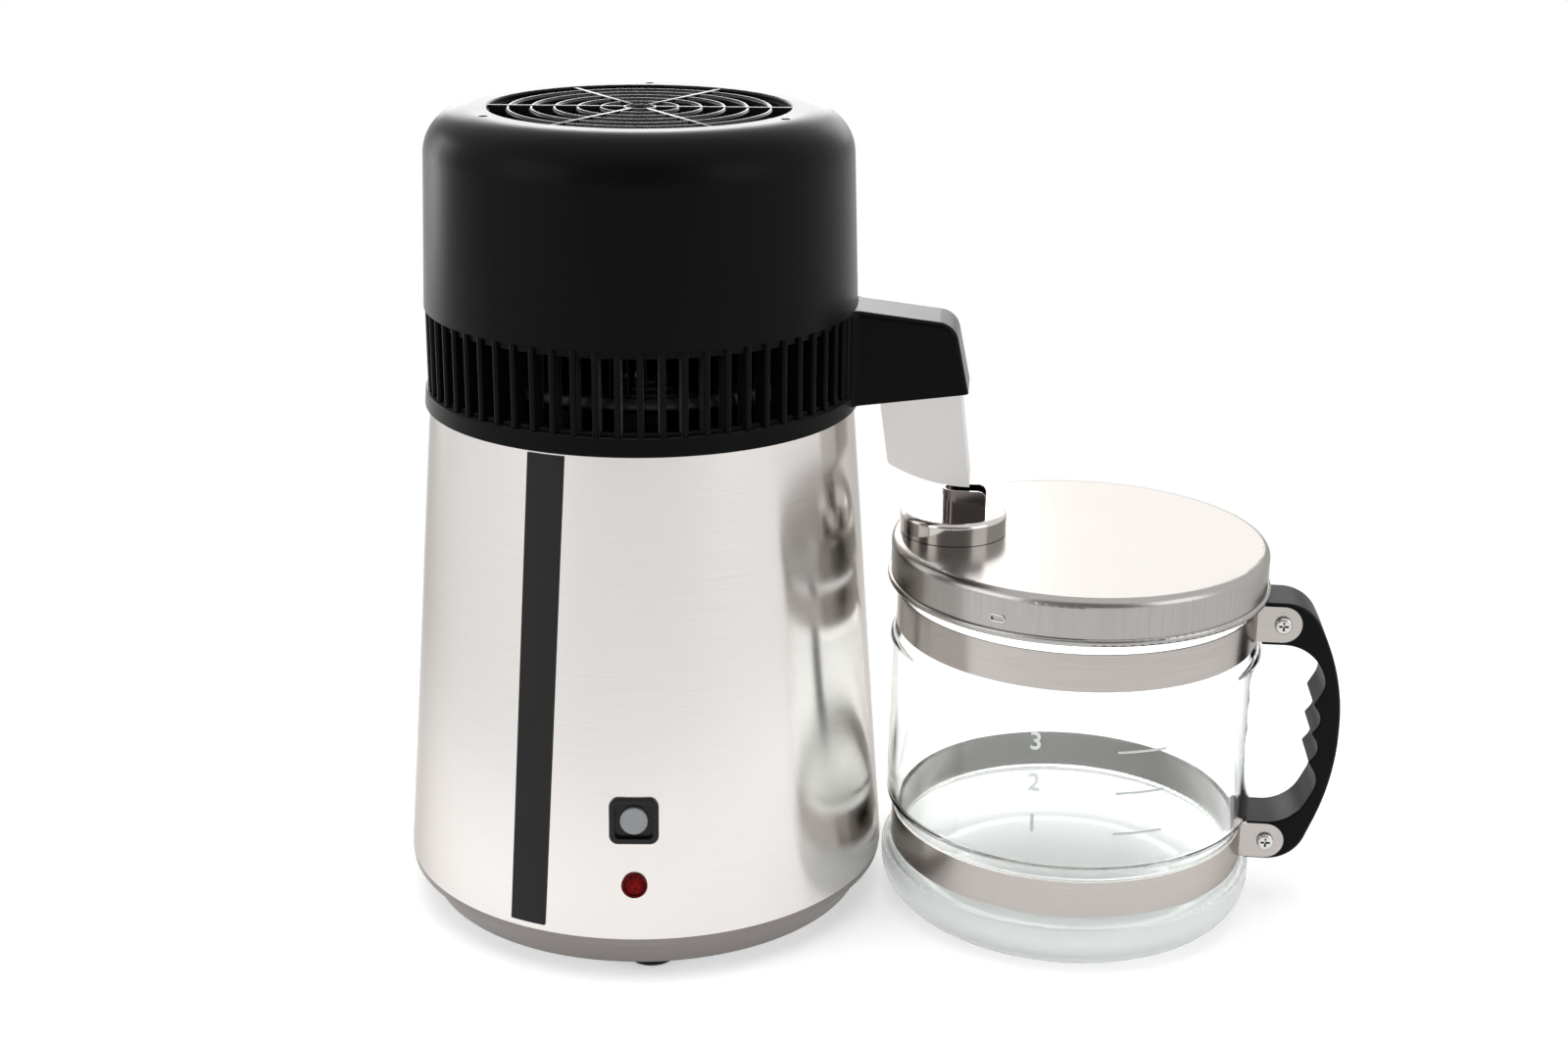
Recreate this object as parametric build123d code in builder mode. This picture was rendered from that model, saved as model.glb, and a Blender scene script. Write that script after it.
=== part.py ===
from build123d import *

import os
from math import asin, atan, cos, degrees, dist, radians, sin, sqrt, tan

# Countertop water distiller: a steel base with its boiling chamber, a lift-off head
# with fan and condenser, and a glass jug. Millimetres, +Z up, standing on z = 0,
# spout and jug along +X, origin under the middle of the whole set.

# Shared fits
overrun = 5.0              # how far a cut runs past the face that it opens
contact_gap = 0.3          # room between curved faces that only come close
running_gap = 0.06         # radial room of a shaft or a stem in its bore
seat_gap = 0.1             # room round a piece that sits in a pocket

# Places of the two standing units
jug_clearance = 1.2        # jug's foot to the casing's foot
control_azimuth = -84.0    # direction that the button and the lamp face
rear_azimuth = 90.0        # direction that the sockets face

# Feet, bottom plate and base ring
foot_height = 5.0
foot_r = 11.0
foot_edge_r = 1.5
foot_peg_r = 4.0
foot_peg_height = 4.0
foot_inset = 15.0          # foot's middle from the base ring's lower edge
foot_count = 4
foot_azimuth = -80.0
plate_sheet = 1.4
plate_slot_inset = 50.0    # slot's middle from the base ring's lower edge
plate_slot_length = 30.0
plate_slot_width = 5.0
plate_slot_count = 12
ring_height = 12.5         # base ring from its underside to the lip
ring_bottom_inset = 10.0   # ring's lower edge inside the casing's edge
ring_top_inset = 3.8       # ring's upper edge inside the casing's edge
ring_wall = 2.6
ring_ledge_width = 6.0     # ledge that the bottom plate is screwed to
ring_ledge_height = 2.6
lip_height = 4.5
lip_inset = 0.5            # the lip stands this far inside the casing's edge
lip_undercut = 0.8
upstand_height = 8.0       # rim inside the casing
upstand_wall = 2.0
base_screw_r = 1.5
base_screw_head_r = 2.6
base_screw_head_height = 1.6
base_screw_count = 4

# Casing and boiling chamber
casing_foot_r = 115.0
casing_taper = 17.4        # casing's top is this much narrower in radius
casing_height = 222.0
casing_sheet = 1.0
pot_gap = 9.6              # pot's wall to the casing's upper edge
pot_height = 183.0
pot_sheet = 1.0
pot_corner_r = 10.0
flange_inset = 0.2         # the pot's flange ends this far inside the casing's top

# Heating set
heater_inset = 26.0        # heater plate's edge inside the pot's wall
heater_plate_height = 5.0
element_inset = 16.0       # element's middle inside the heater plate's edge
element_width = 8.0
element_height = 7.0
element_corner_r = 2.0
element_arc = 300.0
terminal_r = 2.5
terminal_length = 12.0
thermostat_r = 8.5
thermostat_height = 9.0
thermostat_place_share = 0.435  # of the element ring's radius
thermostat_count = 2

# Start button and its switch
switch_lift = 56.5         # button's middle above the casing's lower edge
bezel_width = 22.0
bezel_height = 21.3
bezel_corner_r = 4.0
bezel_proud = 1.6
bezel_rim = 2.4
bezel_edge_r = 0.6
pocket_depth = 2.6
pocket_corner_r = 2.4
bezel_floor = 1.4
neck_inset = 1.6
neck_corner_r = 2.5
neck_depth = 8.0
button_r = 6.2
button_sink = 0.2          # button's face below the bezel's face
button_edge_r = 0.8
button_travel = 2.5
button_collar_r = 7.2
button_collar = 1.4
stem_r = 2.5
stem_engage = 5.0
switch_width = 16.0
switch_height = 15.0
switch_depth = 10.0
switch_corner_r = 1.5

# Indicator lamp
lamp_lift = 26.1           # lamp's middle above the casing's lower edge
lens_r = 5.85
lens_proud = 1.8
lens_edge_r = 0.8
lens_rim = 1.3
lens_recess = 0.7
lens_neck_r = 4.5
lens_neck_depth = 5.0
lamp_holder_length = 16.0
lamp_lead_r = 0.8
lamp_lead_length = 6.0
lamp_lead_spread = 2.2

# Trim strip
strip_width = 17.3
strip_sheet = 0.4
strip_glue = 0.3           # adhesive under the strip
strip_azimuth = -107.7
strip_slant = -1.5
strip_foot_gap = 3.0
strip_top_gap = 1.2

# Sockets in the back of the base
inlet_lift = 30.0          # inlet's middle above the casing's lower edge
inlet_flange_width = 31.0
inlet_flange_height = 24.0
inlet_flange_corner_r = 2.5
inlet_proud = 0.9
inlet_body_width = 27.0
inlet_body_height = 19.6
inlet_body_depth = 26.0
inlet_socket_width = 24.0
inlet_socket_height = 16.2
inlet_socket_depth = 16.0
inlet_corner_r = 3.0
pin_width = 2.0
pin_height = 4.0
pin_sink = 1.5             # pin ends below the flange's face
pin_spread = 7.0
pin_earth_rise = 4.0
fan_socket_drop = 36.0     # outlet's middle below the casing's upper edge
fan_socket_width = 24.0
fan_socket_height = 14.0
fan_socket_corner_r = 3.0
fan_socket_neck_inset = 2.0
fan_socket_depth = 9.0
fan_contact_r = 1.4
fan_contact_spread = 4.3
fan_contact_depth = 6.0

# Head: seal, steam dome and spout collar
seal_height = 2.0
seal_lap = 2.0             # seal's inner edge outside the pot's wall
seal_inset = 1.2
dome_sheet = 1.0
dome_gap = 0.5             # dome's edge to the collar's skirt
dome_crown_gap = 10.0      # crown's edge inside the coil's brackets
dome_crown_rise = 3.0
skirt_drop = 1.8           # skirt below the casing's top edge
skirt_gap = 0.7            # skirt to casing
collar_proud = 2.4         # collar outside the casing's upper edge
collar_taper = 0.6
collar_edge_r = 0.5
collar_ledge_inset = 5.1   # ledge's inner edge inside the casing's upper edge
collar_ledge_height = 2.0

# Spout arm
arm_half_width = 16.0
arm_wall = 2.2
arm_edge_r = 2.5
arm_root_half_width = 21.5
arm_root_fillet = 6.0
arm_rise = 2.0             # arm's root above the cover's lower edge
arm_fall = 5.7             # fall of its top towards the end
arm_length = 45.1
arm_corner_r = 10.0
arm_end_lean = 6.7         # how far the end leans out towards its foot
arm_low_lift = 2.8         # underside above the skirt's lower edge
arm_low_rise = 7.3         # rise of the underside towards the end
arm_heel = 10.0            # closed stretch of underside before the nozzle
arm_heel_floor = 3.0
tube_port_gap = 1.2        # room round the coil's tube where it enters the arm

# Nozzle and filter
nozzle_sheet = 1.0
nozzle_top_lift = 6.4      # nozzle's upper edge above the arm's underside
nozzle_back_gap = 11.3     # nozzle's back edge from the arm's root
nozzle_back_lean = 4.8
nozzle_front_gap = 1.3     # nozzle's front edge to the arm's end wall
nozzle_front_lean = 5.4
nozzle_back_height = 33.2  # from its upper edge to the back corner
nozzle_toe_drop = 10.2     # tip below the back corner
nozzle_heel_r = 3.0
nozzle_hole_r = 4.0
nozzle_hole_setback = 10.0
filter_height = 16.0

# Vent ring
vent_height = 37.7
vent_foot_height = 1.5
vent_foot_inset = 2.4
vent_head_height = 3.5
vent_head_inset = 2.1      # head ring inside the slats' fronts
vent_head_width = 6.6
vent_spigot_height = 8.0
vent_spigot_wall = 2.2
slat_inset = 0.6           # slats' fronts inside the cover's lower edge
slat_depth = 9.0
slat_width = 2.8
slat_count = 64

# Head cover and grille
cover_turn = 5.5           # grille and screws are turned this far from the spout
cover_height = 88.3
cover_proud = 1.3          # cover's lower edge outside the casing's upper edge
cover_taper = 3.1
cover_wall = 2.5
cover_edge_r = 20.0
cover_inner_edge_r = 12.0
cover_lip_r = 1.0
opening_inset = 28.0       # fan opening's edge inside the cover's side
cover_screw_inset = 7.2    # screws' circle outside the opening
cover_screw_count = 3
cover_screw_r = 1.4
cover_screw_head_r = 2.0
cover_screw_head_height = 1.2
cover_screw_sink = 0.5
grille_bar = 1.9
grille_depth = 3.6
grille_sink = 0.8
grille_hub_r = 7.0
grille_edge_share = 0.9    # last gap of the grille, in ring pitches
grille_ring_count = 5
grille_spoke_width = 2.0
grille_spoke_count = 6
grille_flange_height = 2.0
grille_flange_width = 12.7
grille_flange_lap = 1.4    # flange inside the opening's edge
head_inlet_lift = 20.0     # inlet's centre above the cover's lower edge
head_inlet_width = 22.0
head_inlet_height = 14.0
head_inlet_corner_r = 3.0
head_inlet_proud = 0.8
head_inlet_neck_inset = 2.0
head_inlet_depth = 14.0
head_inlet_wall = 1.6
head_inlet_floor = 4.0
head_pin_r = 1.2
head_pin_spread = 4.3
head_pin_sink = 1.5

# Fan and motor
bracket_sheet = 1.5
bracket_hub_r = 27.0
bracket_arm_width = 12.0
motor_r = 24.0
motor_height = 30.0
motor_edge_r = 3.0
motor_boss_r = 7.0
motor_boss_height = 4.0
motor_bore_depth = 16.0
shaft_r = 2.5
fan_gap = 3.0              # motor's boss to the rotor's hub
hub_r = 20.0
hub_height = 16.0
hub_edge_r = 3.0
blade_count = 7
blade_tip_gap = 3.5        # blade tips inside the grille's flange
blade_sheet = 2.0
blade_root_chord = 18.0
blade_tip_chord = 36.0
blade_root_pitch = 42.0
blade_tip_pitch = 26.0
blade_bury = 2.0           # blade root inside the hub

# Condenser
tube_r = 4.75
tube_bore_r = 4.0
coil_lift = 8.0            # tube above the steam dome
coil_gap = 0.55            # coil to the slats
coil_pitch = 12.0
coil_turns = 3
coil_riser_bend = 9.5
coil_outlet_bend = 14.0
outlet_setback = 11.0      # tube's end from the arm's end
fin_inset = 4.0            # fins' inner edge inside the coil
fin_gap = 2.6              # fins' outer edge to the vent ring
fin_ring_wall = 1.5
fin_sheet = 0.8
fin_height = 18.0
fin_count = 72
bar_width = 10.0
bar_count = 3

# Jug glass
glass_wall = 3.8
glass_floor = 8.0
glass_foot_r = 88.3
glass_foot_edge_r = 19.0
glass_rest_inset = 22.0    # resting ring inside the foot's side
glass_punt = 2.0
glass_punt_slope = 3.0
groove_depth = 5.3         # band groove inside the foot
groove_margin = 0.6        # groove beyond the band, above and below
groove_slope = 3.5
band_low_z = 28.8
band_up_drop = 105.3       # upper band's edge below the casing's upper edge
band_height = 17.4
ledge_rise = 6.4           # slope above the lower groove
glass_body_inset = 1.7     # body's side inside the foot's side
shoulder_drop = 5.0        # slope below the upper groove
glass_neck_height = 21.9   # glass above the upper band
glass_round = 1.5
ridge_height = 2.5
ridge_proud = 2.2
ridge_drop = 5.8           # ridge's underside below the glass's rim
ridge_arc = 34.0
lug_count = 3
lug_azimuth = -115.2

# Jug lid and cap
lid_rise = 4.5             # lid's top above the glass's rim
lid_gap = 4.2              # lid's side outside the glass's neck
lid_edge_r = 4.0
lid_sheet = 1.0
lid_skirt = 21.1
lip_roll_height = 3.2
lip_roll_proud = 1.4
lip_roll_r = 1.2
lug_width = 7.5
lug_height = 3.6
lug_depth = 2.2
lug_dent = 0.6
lug_drop = 2.6             # lug's middle below the ridge's underside
lid_seal_width = 3.8
fill_hole_r = 15.0
cap_setback = 7.0          # cap's axis behind the nozzle's tip
cap_r = 24.8
cap_height = 10.5
cap_sheet = 1.2
cap_edge_r = 2.5
cap_rest_gap = 0.2
cap_plug_depth = 5.0
tab_half_width = 6.3
tab_sheet = 1.2
tab_length = 20.3
tab_height = 10.5
tab_corner_r = 4.0
tab_back = 5.4             # bend's outside from the cap's axis

# Handle and bands
band_sheet = 0.8
band_gap = 0.1             # band to glass
ear_sheet = 1.2
handle_half_width = 14.0
handle_gap = 1.7           # handle's ends to the bands
handle_depth = 38.9        # handle from its ends to its back
handle_edge_r = 2.0
grip_edge_r = 1.0
handle_top_rise = 1.4      # handle above the upper band
handle_low_drop = 1.2      # handle's foot below the lower band's edge
handle_top_run = 21.0      # its corners, from its ends outwards
handle_bottom_run = 22.5
handle_high_share = 0.856  # heights of its back, between the bands
handle_low_share = 0.379
handle_top_bend_share = 0.17  # bends, as shares of the height between the bands
handle_high_bend_share = 0.96
handle_low_bend_share = 1.15
handle_bottom_bend_share = 0.17
grip_top_drop = 1.5        # inner outline below the upper band's edge
grip_low_rise = 0.8        # inner outline above the lower band
grip_top_run = 22.9
grip_bottom_run = 20.9
grip_bend_share = 0.18
grip_high_share = 0.816    # uppermost finger groove, between the bands
grip_low_share = 0.37      # lowest finger groove, between the bands
grip_groove_bend_share = 0.1
grip_depth = 31.6          # deepest inner outline from the handle's ends
crest_top_share = 0.72     # first crest between two fingers, between the bands
finger_count = 3
finger_pitch_share = 0.132 # from one crest to the next, between the bands
finger_depth_share = 0.39  # of the step from one crest to the next
finger_groove_share = 0.52
finger_crest_share = 0.08
screw_run = 8.9            # screws from the handle's ends
screw_r = 2.0
screw_head_r = 4.0
screw_head_height = 2.4
screw_head_round = 1.5
cross_length = 4.4
cross_width = 1.0
cross_depth = 1.1
nut_r = 4.0
nut_height = 3.2

# Heights and radii that follow from the sizes above
jug_spacing = casing_foot_r + glass_foot_r + jug_clearance
groove_r = glass_foot_r - groove_depth
band_r = groove_r + band_gap
band_outer_r = band_r + band_sheet
handle_end = band_outer_r + handle_gap
handle_reach = handle_end + handle_depth
distiller_x = (casing_foot_r - jug_spacing - handle_reach) / 2
jug_x = distiller_x + jug_spacing
ring_bottom_r = casing_foot_r - ring_bottom_inset
ring_top_r = casing_foot_r - ring_top_inset
foot_circle_r = ring_bottom_r - foot_inset
casing_top_r = casing_foot_r - casing_taper
pot_r = casing_top_r - pot_gap
cover_foot_r = casing_top_r + cover_proud
cover_top_r = cover_foot_r - cover_taper
opening_r = cover_top_r - opening_inset
cover_screw_circle_r = opening_r + cover_screw_inset
collar_ledge_r = casing_top_r - collar_ledge_inset
arm_root_r = cover_foot_r
arm_reach = arm_root_r + arm_length
slat_front_r = cover_foot_r - slat_inset
vent_head_r = slat_front_r - vent_head_inset
coil_inner = slat_front_r - slat_depth - coil_gap - tube_r - coil_pitch * coil_turns
fin_inner_r = coil_inner - fin_inset
fin_outer_r = vent_head_r - vent_head_width - fin_gap
plate_z = foot_height
ring_ledge_z = plate_z + plate_sheet
lip_z = foot_height + ring_height
casing_foot_z = lip_z + lip_height
casing_top_z = casing_foot_z + casing_height
switch_z = casing_foot_z + switch_lift
lamp_z = casing_foot_z + lamp_lift
inlet_z = casing_foot_z + inlet_lift
fan_socket_z = casing_top_z - fan_socket_drop
band_up_z = casing_top_z - band_up_drop
rim_z = casing_top_z + pot_sheet
pot_floor_z = rim_z - pot_height
dome_z = rim_z + seal_height
dome_top_z = dome_z + dome_sheet
vent_z = dome_top_z + collar_ledge_height
cover_z = vent_z + vent_height
top_z = cover_z + cover_height
skirt_z = casing_top_z - skirt_drop
skirt_r = casing_top_r + skirt_gap
coil_z = dome_top_z + coil_lift + tube_r
casing_lean = atan(casing_taper / casing_height)
distiller_axis = Axis((distiller_x, 0, 0), (0, 0, 1))
jug_axis = Axis((jug_x, 0, 0), (0, 0, 1))


def upright(axis_x, azimuth=0):
    """Upright plane through a vertical axis: its x runs outwards, its y is the height."""
    turn = radians(azimuth)
    return Plane(
        origin=(axis_x, 0, 0),
        x_dir=(cos(turn), sin(turn), 0),
        z_dir=(sin(turn), -cos(turn), 0),
    )


def level(axis_x, height):
    """Level plane on a vertical axis."""
    return Plane(origin=(axis_x, 0, height))


def facing(axis_x, azimuth, height, reach, lean=0):
    """Plane that faces outwards at a distance from a vertical axis, with its x level."""
    turn = radians(azimuth)
    outwards = Vector(cos(turn), sin(turn), 0)
    return Plane(
        origin=Vector(axis_x, 0, height) + outwards * reach,
        x_dir=(-sin(turn), cos(turn), 0),
        z_dir=outwards * cos(lean) + Vector(0, 0, 1) * sin(lean),
    )


def casing_r(height):
    """Outside radius of the casing at a height."""
    return casing_foot_r - (height - casing_foot_z) * tan(casing_lean)


def rounded_outline(*corners):
    """Closed outline through corners, each a place and, where it is round, its radius."""
    places = [corner[:2] for corner in corners]
    radii = [corner[2] if len(corner) > 2 else 0 for corner in corners]
    FilletPolyline(*places, radius=radii, close=True)


def write(piece, name):
    """Label a finished piece and write its file."""
    piece.part.label = name
    export_step(piece.part, f"parts/{name}.step")


os.makedirs("parts", exist_ok=True)
distiller_section = upright(distiller_x)
jug_section = upright(jug_x)
switch_face = facing(distiller_x, control_azimuth, switch_z, casing_r(switch_z), casing_lean)
lamp_face = facing(distiller_x, control_azimuth, lamp_z, casing_r(lamp_z), casing_lean)
inlet_reach = casing_r(inlet_z - inlet_flange_height / 2) + inlet_proud
inlet_face = facing(distiller_x, rear_azimuth, inlet_z, inlet_reach)
fan_socket_reach = casing_r(fan_socket_z - fan_socket_height / 2) + inlet_proud
fan_socket_face = facing(distiller_x, rear_azimuth, fan_socket_z, fan_socket_reach)
neck_width = bezel_width - 2 * neck_inset
neck_height = bezel_height - 2 * neck_inset
fan_neck_width = fan_socket_width - 2 * fan_socket_neck_inset
fan_neck_height = fan_socket_height - 2 * fan_socket_neck_inset
fan_neck_corner_r = fan_socket_corner_r - fan_socket_neck_inset / 2

# Outer casing: a cone of sheet steel with the openings of what it carries
with BuildPart() as outer_casing:
    with BuildSketch(distiller_section):
        with BuildLine():
            rounded_outline(
                (casing_foot_r, casing_foot_z),
                (casing_top_r, casing_top_z),
                (casing_top_r - casing_sheet, casing_top_z),
                (casing_foot_r - casing_sheet, casing_foot_z),
            )
        make_face()
    revolve(axis=distiller_axis)
    with BuildSketch(switch_face):
        RectangleRounded(neck_width + 2 * seat_gap, neck_height + 2 * seat_gap, neck_corner_r)
    with BuildSketch(lamp_face):
        Circle(lens_neck_r + seat_gap)
    extrude(amount=overrun, both=True, mode=Mode.SUBTRACT)
    with BuildSketch(inlet_face):
        RectangleRounded(inlet_body_width + 2 * seat_gap, inlet_body_height + 2 * seat_gap, inlet_corner_r)
    with BuildSketch(fan_socket_face):
        RectangleRounded(fan_neck_width + 2 * seat_gap, fan_neck_height + 2 * seat_gap, fan_neck_corner_r)
    extrude(amount=overrun, both=True, mode=Mode.SUBTRACT)
write(outer_casing, "outer_casing")

# Base ring: tapered moulding with a lip for the casing and a ledge for the bottom plate
plate_r = ring_bottom_r - ring_wall - seat_gap
ring_ledge_r = plate_r - ring_ledge_width
ring_ledge_top_z = ring_ledge_z + ring_ledge_height
upstand_r = casing_r(casing_foot_z + upstand_height) - casing_sheet - contact_gap
screw_circle_r = plate_r - ring_ledge_width / 2
screw_azimuth = foot_azimuth + 180 / foot_count
with BuildPart() as base_ring:
    with BuildSketch(distiller_section):
        with BuildLine():
            rounded_outline(
                (casing_foot_r - lip_inset, casing_foot_z),
                (casing_foot_r - lip_inset, lip_z + lip_undercut),
                (ring_top_r, lip_z),
                (ring_bottom_r, plate_z),
                (plate_r + seat_gap, plate_z),
                (plate_r + seat_gap, ring_ledge_z),
                (ring_ledge_r, ring_ledge_z),
                (ring_ledge_r, ring_ledge_top_z),
                (ring_bottom_r - ring_wall, ring_ledge_top_z),
                (ring_top_r - ring_wall, lip_z),
                (upstand_r - upstand_wall, casing_foot_z),
                (upstand_r - upstand_wall, casing_foot_z + upstand_height),
                (upstand_r, casing_foot_z + upstand_height),
                (upstand_r, casing_foot_z),
            )
        make_face()
    revolve(axis=distiller_axis)
    with BuildSketch(level(distiller_x, ring_ledge_z)):
        with PolarLocations(screw_circle_r, base_screw_count, start_angle=screw_azimuth):
            Circle(base_screw_r + seat_gap)
    extrude(amount=ring_ledge_height, mode=Mode.SUBTRACT)
write(base_ring, "base_ring")

# Bottom plate: sheet disc with air slots and holes for the feet and the screws
with BuildPart() as base_plate:
    with BuildSketch(level(distiller_x, plate_z)):
        Circle(plate_r)
        with PolarLocations(ring_bottom_r - plate_slot_inset, plate_slot_count):
            SlotOverall(plate_slot_length, plate_slot_width, mode=Mode.SUBTRACT)
        with PolarLocations(foot_circle_r, foot_count, start_angle=foot_azimuth):
            Circle(foot_peg_r + seat_gap, mode=Mode.SUBTRACT)
        with PolarLocations(screw_circle_r, base_screw_count, start_angle=screw_azimuth):
            Circle(base_screw_r + seat_gap, mode=Mode.SUBTRACT)
    extrude(amount=plate_sheet)
write(base_plate, "base_plate")

# Screws of the bottom plate, driven from below
with BuildPart() as base_screws:
    with BuildSketch(level(distiller_x, plate_z)):
        with PolarLocations(screw_circle_r, base_screw_count, start_angle=screw_azimuth):
            Circle(base_screw_head_r)
    extrude(amount=-base_screw_head_height)
    with BuildSketch(level(distiller_x, plate_z)):
        with PolarLocations(screw_circle_r, base_screw_count, start_angle=screw_azimuth):
            Circle(base_screw_r)
    extrude(amount=plate_sheet + ring_ledge_height)
write(base_screws, "base_screws")

# Rubber feet: round pads with a peg through the bottom plate
with BuildPart() as rubber_feet:
    with BuildSketch(level(distiller_x, 0)):
        with PolarLocations(foot_circle_r, foot_count, start_angle=foot_azimuth):
            Circle(foot_r)
    extrude(amount=foot_height)
    fillet(rubber_feet.edges().group_by(Axis.Z)[0], foot_edge_r)
    with BuildSketch(level(distiller_x, foot_height)):
        with PolarLocations(foot_circle_r, foot_count, start_angle=foot_azimuth):
            Circle(foot_peg_r)
    extrude(amount=foot_peg_height)
write(rubber_feet, "rubber_feet")

# Boiling chamber: drawn pot whose flange hangs on the casing's upper edge
pot_flange_r = casing_top_r - flange_inset
with BuildPart() as boiling_chamber:
    with BuildSketch(distiller_section):
        with BuildLine():
            rounded_outline(
                (0, pot_floor_z),
                (pot_r + pot_sheet, pot_floor_z, pot_corner_r + pot_sheet),
                (pot_r + pot_sheet, casing_top_z),
                (pot_flange_r, casing_top_z),
                (pot_flange_r, rim_z),
                (pot_r, rim_z),
                (pot_r, pot_floor_z + pot_sheet, pot_corner_r),
                (0, pot_floor_z + pot_sheet),
            )
        make_face()
    revolve(axis=distiller_axis)
write(boiling_chamber, "boiling_chamber")

# Heater plate under the pot
heater_plate_r = pot_r - heater_inset
with BuildPart() as heater_plate:
    with BuildSketch(level(distiller_x, pot_floor_z)):
        Circle(heater_plate_r)
    extrude(amount=-heater_plate_height)
write(heater_plate, "heater_plate")

# Heating element: an open ring with its two terminals
element_z = pot_floor_z - heater_plate_height
element_ring_r = heater_plate_r - element_inset
element_start = (360 - element_arc) / 2
with BuildPart() as heater_element:
    with BuildSketch(upright(distiller_x, element_start)):
        with Locations((element_ring_r, element_z - element_height / 2)):
            Rectangle(element_width, element_height)
    revolve(axis=distiller_axis, revolution_arc=element_arc)
    fillet(heater_element.edges().group_by(Axis.Z)[0].filter_by(GeomType.CIRCLE), element_corner_r)
    with BuildSketch(level(distiller_x, element_z - element_height)):
        for side in (element_start, -element_start):
            inset = degrees(element_width / element_ring_r)
            azimuth = radians(side + inset if side > 0 else side - inset)
            with Locations((element_ring_r * cos(azimuth), element_ring_r * sin(azimuth))):
                Circle(terminal_r)
    extrude(amount=-terminal_length)
write(heater_element, "heater_element")

# Thermostats: control and dry-boil cut-out on the heater plate
thermostat_circle_r = element_ring_r * thermostat_place_share
with BuildPart() as thermostats:
    with BuildSketch(level(distiller_x, element_z)):
        with PolarLocations(thermostat_circle_r, thermostat_count, start_angle=rear_azimuth):
            Circle(thermostat_r)
    extrude(amount=-thermostat_height)
write(thermostats, "thermostats")

# Switch bezel: rounded square with a sunk floor, its back shaped to the casing
floor_front = bezel_proud - pocket_depth
floor_back = floor_front - bezel_floor
with BuildPart() as switch_bezel:
    with BuildSketch(switch_face):
        RectangleRounded(bezel_width, bezel_height, bezel_corner_r)
    extrude(amount=bezel_proud, both=True)
    front = switch_bezel.faces().sort_by(Axis(switch_face.origin, switch_face.z_dir))[-1]
    fillet(front.edges(), bezel_edge_r)
    with BuildSketch(distiller_section):
        with BuildLine():
            rounded_outline(
                (0, casing_foot_z),
                (casing_foot_r, casing_foot_z),
                (casing_top_r, casing_top_z),
                (0, casing_top_z),
            )
        make_face()
    revolve(axis=distiller_axis, mode=Mode.SUBTRACT)
    with BuildSketch(switch_face):
        RectangleRounded(neck_width, neck_height, neck_corner_r)
    extrude(amount=-neck_depth)
    with BuildSketch(switch_face.offset(bezel_proud)):
        RectangleRounded(bezel_width - 2 * bezel_rim, bezel_height - 2 * bezel_rim, pocket_corner_r)
    extrude(amount=-pocket_depth, mode=Mode.SUBTRACT)
    with BuildSketch(switch_face.offset(floor_front)):
        Circle(button_r + contact_gap)
    extrude(amount=-bezel_floor, mode=Mode.SUBTRACT)
    with BuildSketch(switch_face.offset(floor_back)):
        Circle(button_collar_r + contact_gap)
    extrude(amount=-neck_depth, mode=Mode.SUBTRACT)
write(switch_bezel, "switch_bezel")

# Start button: round cap with a collar behind the bezel's floor and a stem
button_front = bezel_proud - button_sink
collar_front = floor_back - contact_gap
stem_end = -neck_depth - stem_engage
with BuildPart() as start_button:
    with BuildSketch(switch_face.offset(collar_front)):
        Circle(button_r)
    extrude(amount=button_front - collar_front)
    fillet(
        start_button.edges().sort_by(Axis(switch_face.origin, switch_face.z_dir))[-1],
        button_edge_r,
    )
    with BuildSketch(switch_face.offset(collar_front)):
        Circle(button_collar_r)
    extrude(amount=-button_collar)
    with BuildSketch(switch_face.offset(collar_front)):
        Circle(stem_r)
    extrude(amount=stem_end - collar_front)
write(start_button, "start_button")

# Switch body behind the bezel, with the bore that guides the button's stem
with BuildPart() as switch_body:
    with BuildSketch(switch_face.offset(-neck_depth)):
        RectangleRounded(switch_width, switch_height, switch_corner_r)
    extrude(amount=-switch_depth)
    with BuildSketch(switch_face.offset(-neck_depth)):
        Circle(stem_r + running_gap)
    extrude(amount=-(stem_engage + button_travel + contact_gap), mode=Mode.SUBTRACT)
write(switch_body, "switch_body")

# Indicator lens: rim and sunk window in one red moulding, its back shaped to the casing
with BuildPart() as indicator_lens:
    with BuildSketch(lamp_face):
        Circle(lens_r)
    extrude(amount=lens_proud, both=True)
    fillet(indicator_lens.edges().sort_by(Axis(lamp_face.origin, lamp_face.z_dir))[-1], lens_edge_r)
    with BuildSketch(lamp_face.offset(lens_proud)):
        Circle(lens_r - lens_rim)
    extrude(amount=-lens_recess, mode=Mode.SUBTRACT)
    with BuildSketch(distiller_section):
        with BuildLine():
            rounded_outline(
                (0, casing_foot_z),
                (casing_foot_r, casing_foot_z),
                (casing_top_r, casing_top_z),
                (0, casing_top_z),
            )
        make_face()
    revolve(axis=distiller_axis, mode=Mode.SUBTRACT)
    with BuildSketch(lamp_face):
        Circle(lens_neck_r)
    extrude(amount=-lens_neck_depth)
write(indicator_lens, "indicator_lens")

# Lamp holder behind the lens, with its two leads' tags
with BuildPart() as lamp_holder:
    with BuildSketch(lamp_face.offset(-lens_neck_depth)):
        Circle(lens_neck_r)
    extrude(amount=-lamp_holder_length)
    with BuildSketch(lamp_face.offset(-lens_neck_depth - lamp_holder_length)):
        with Locations((lamp_lead_spread, 0), (-lamp_lead_spread, 0)):
            Circle(lamp_lead_r)
    extrude(amount=-lamp_lead_length)
write(lamp_holder, "lamp_holder")

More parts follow.
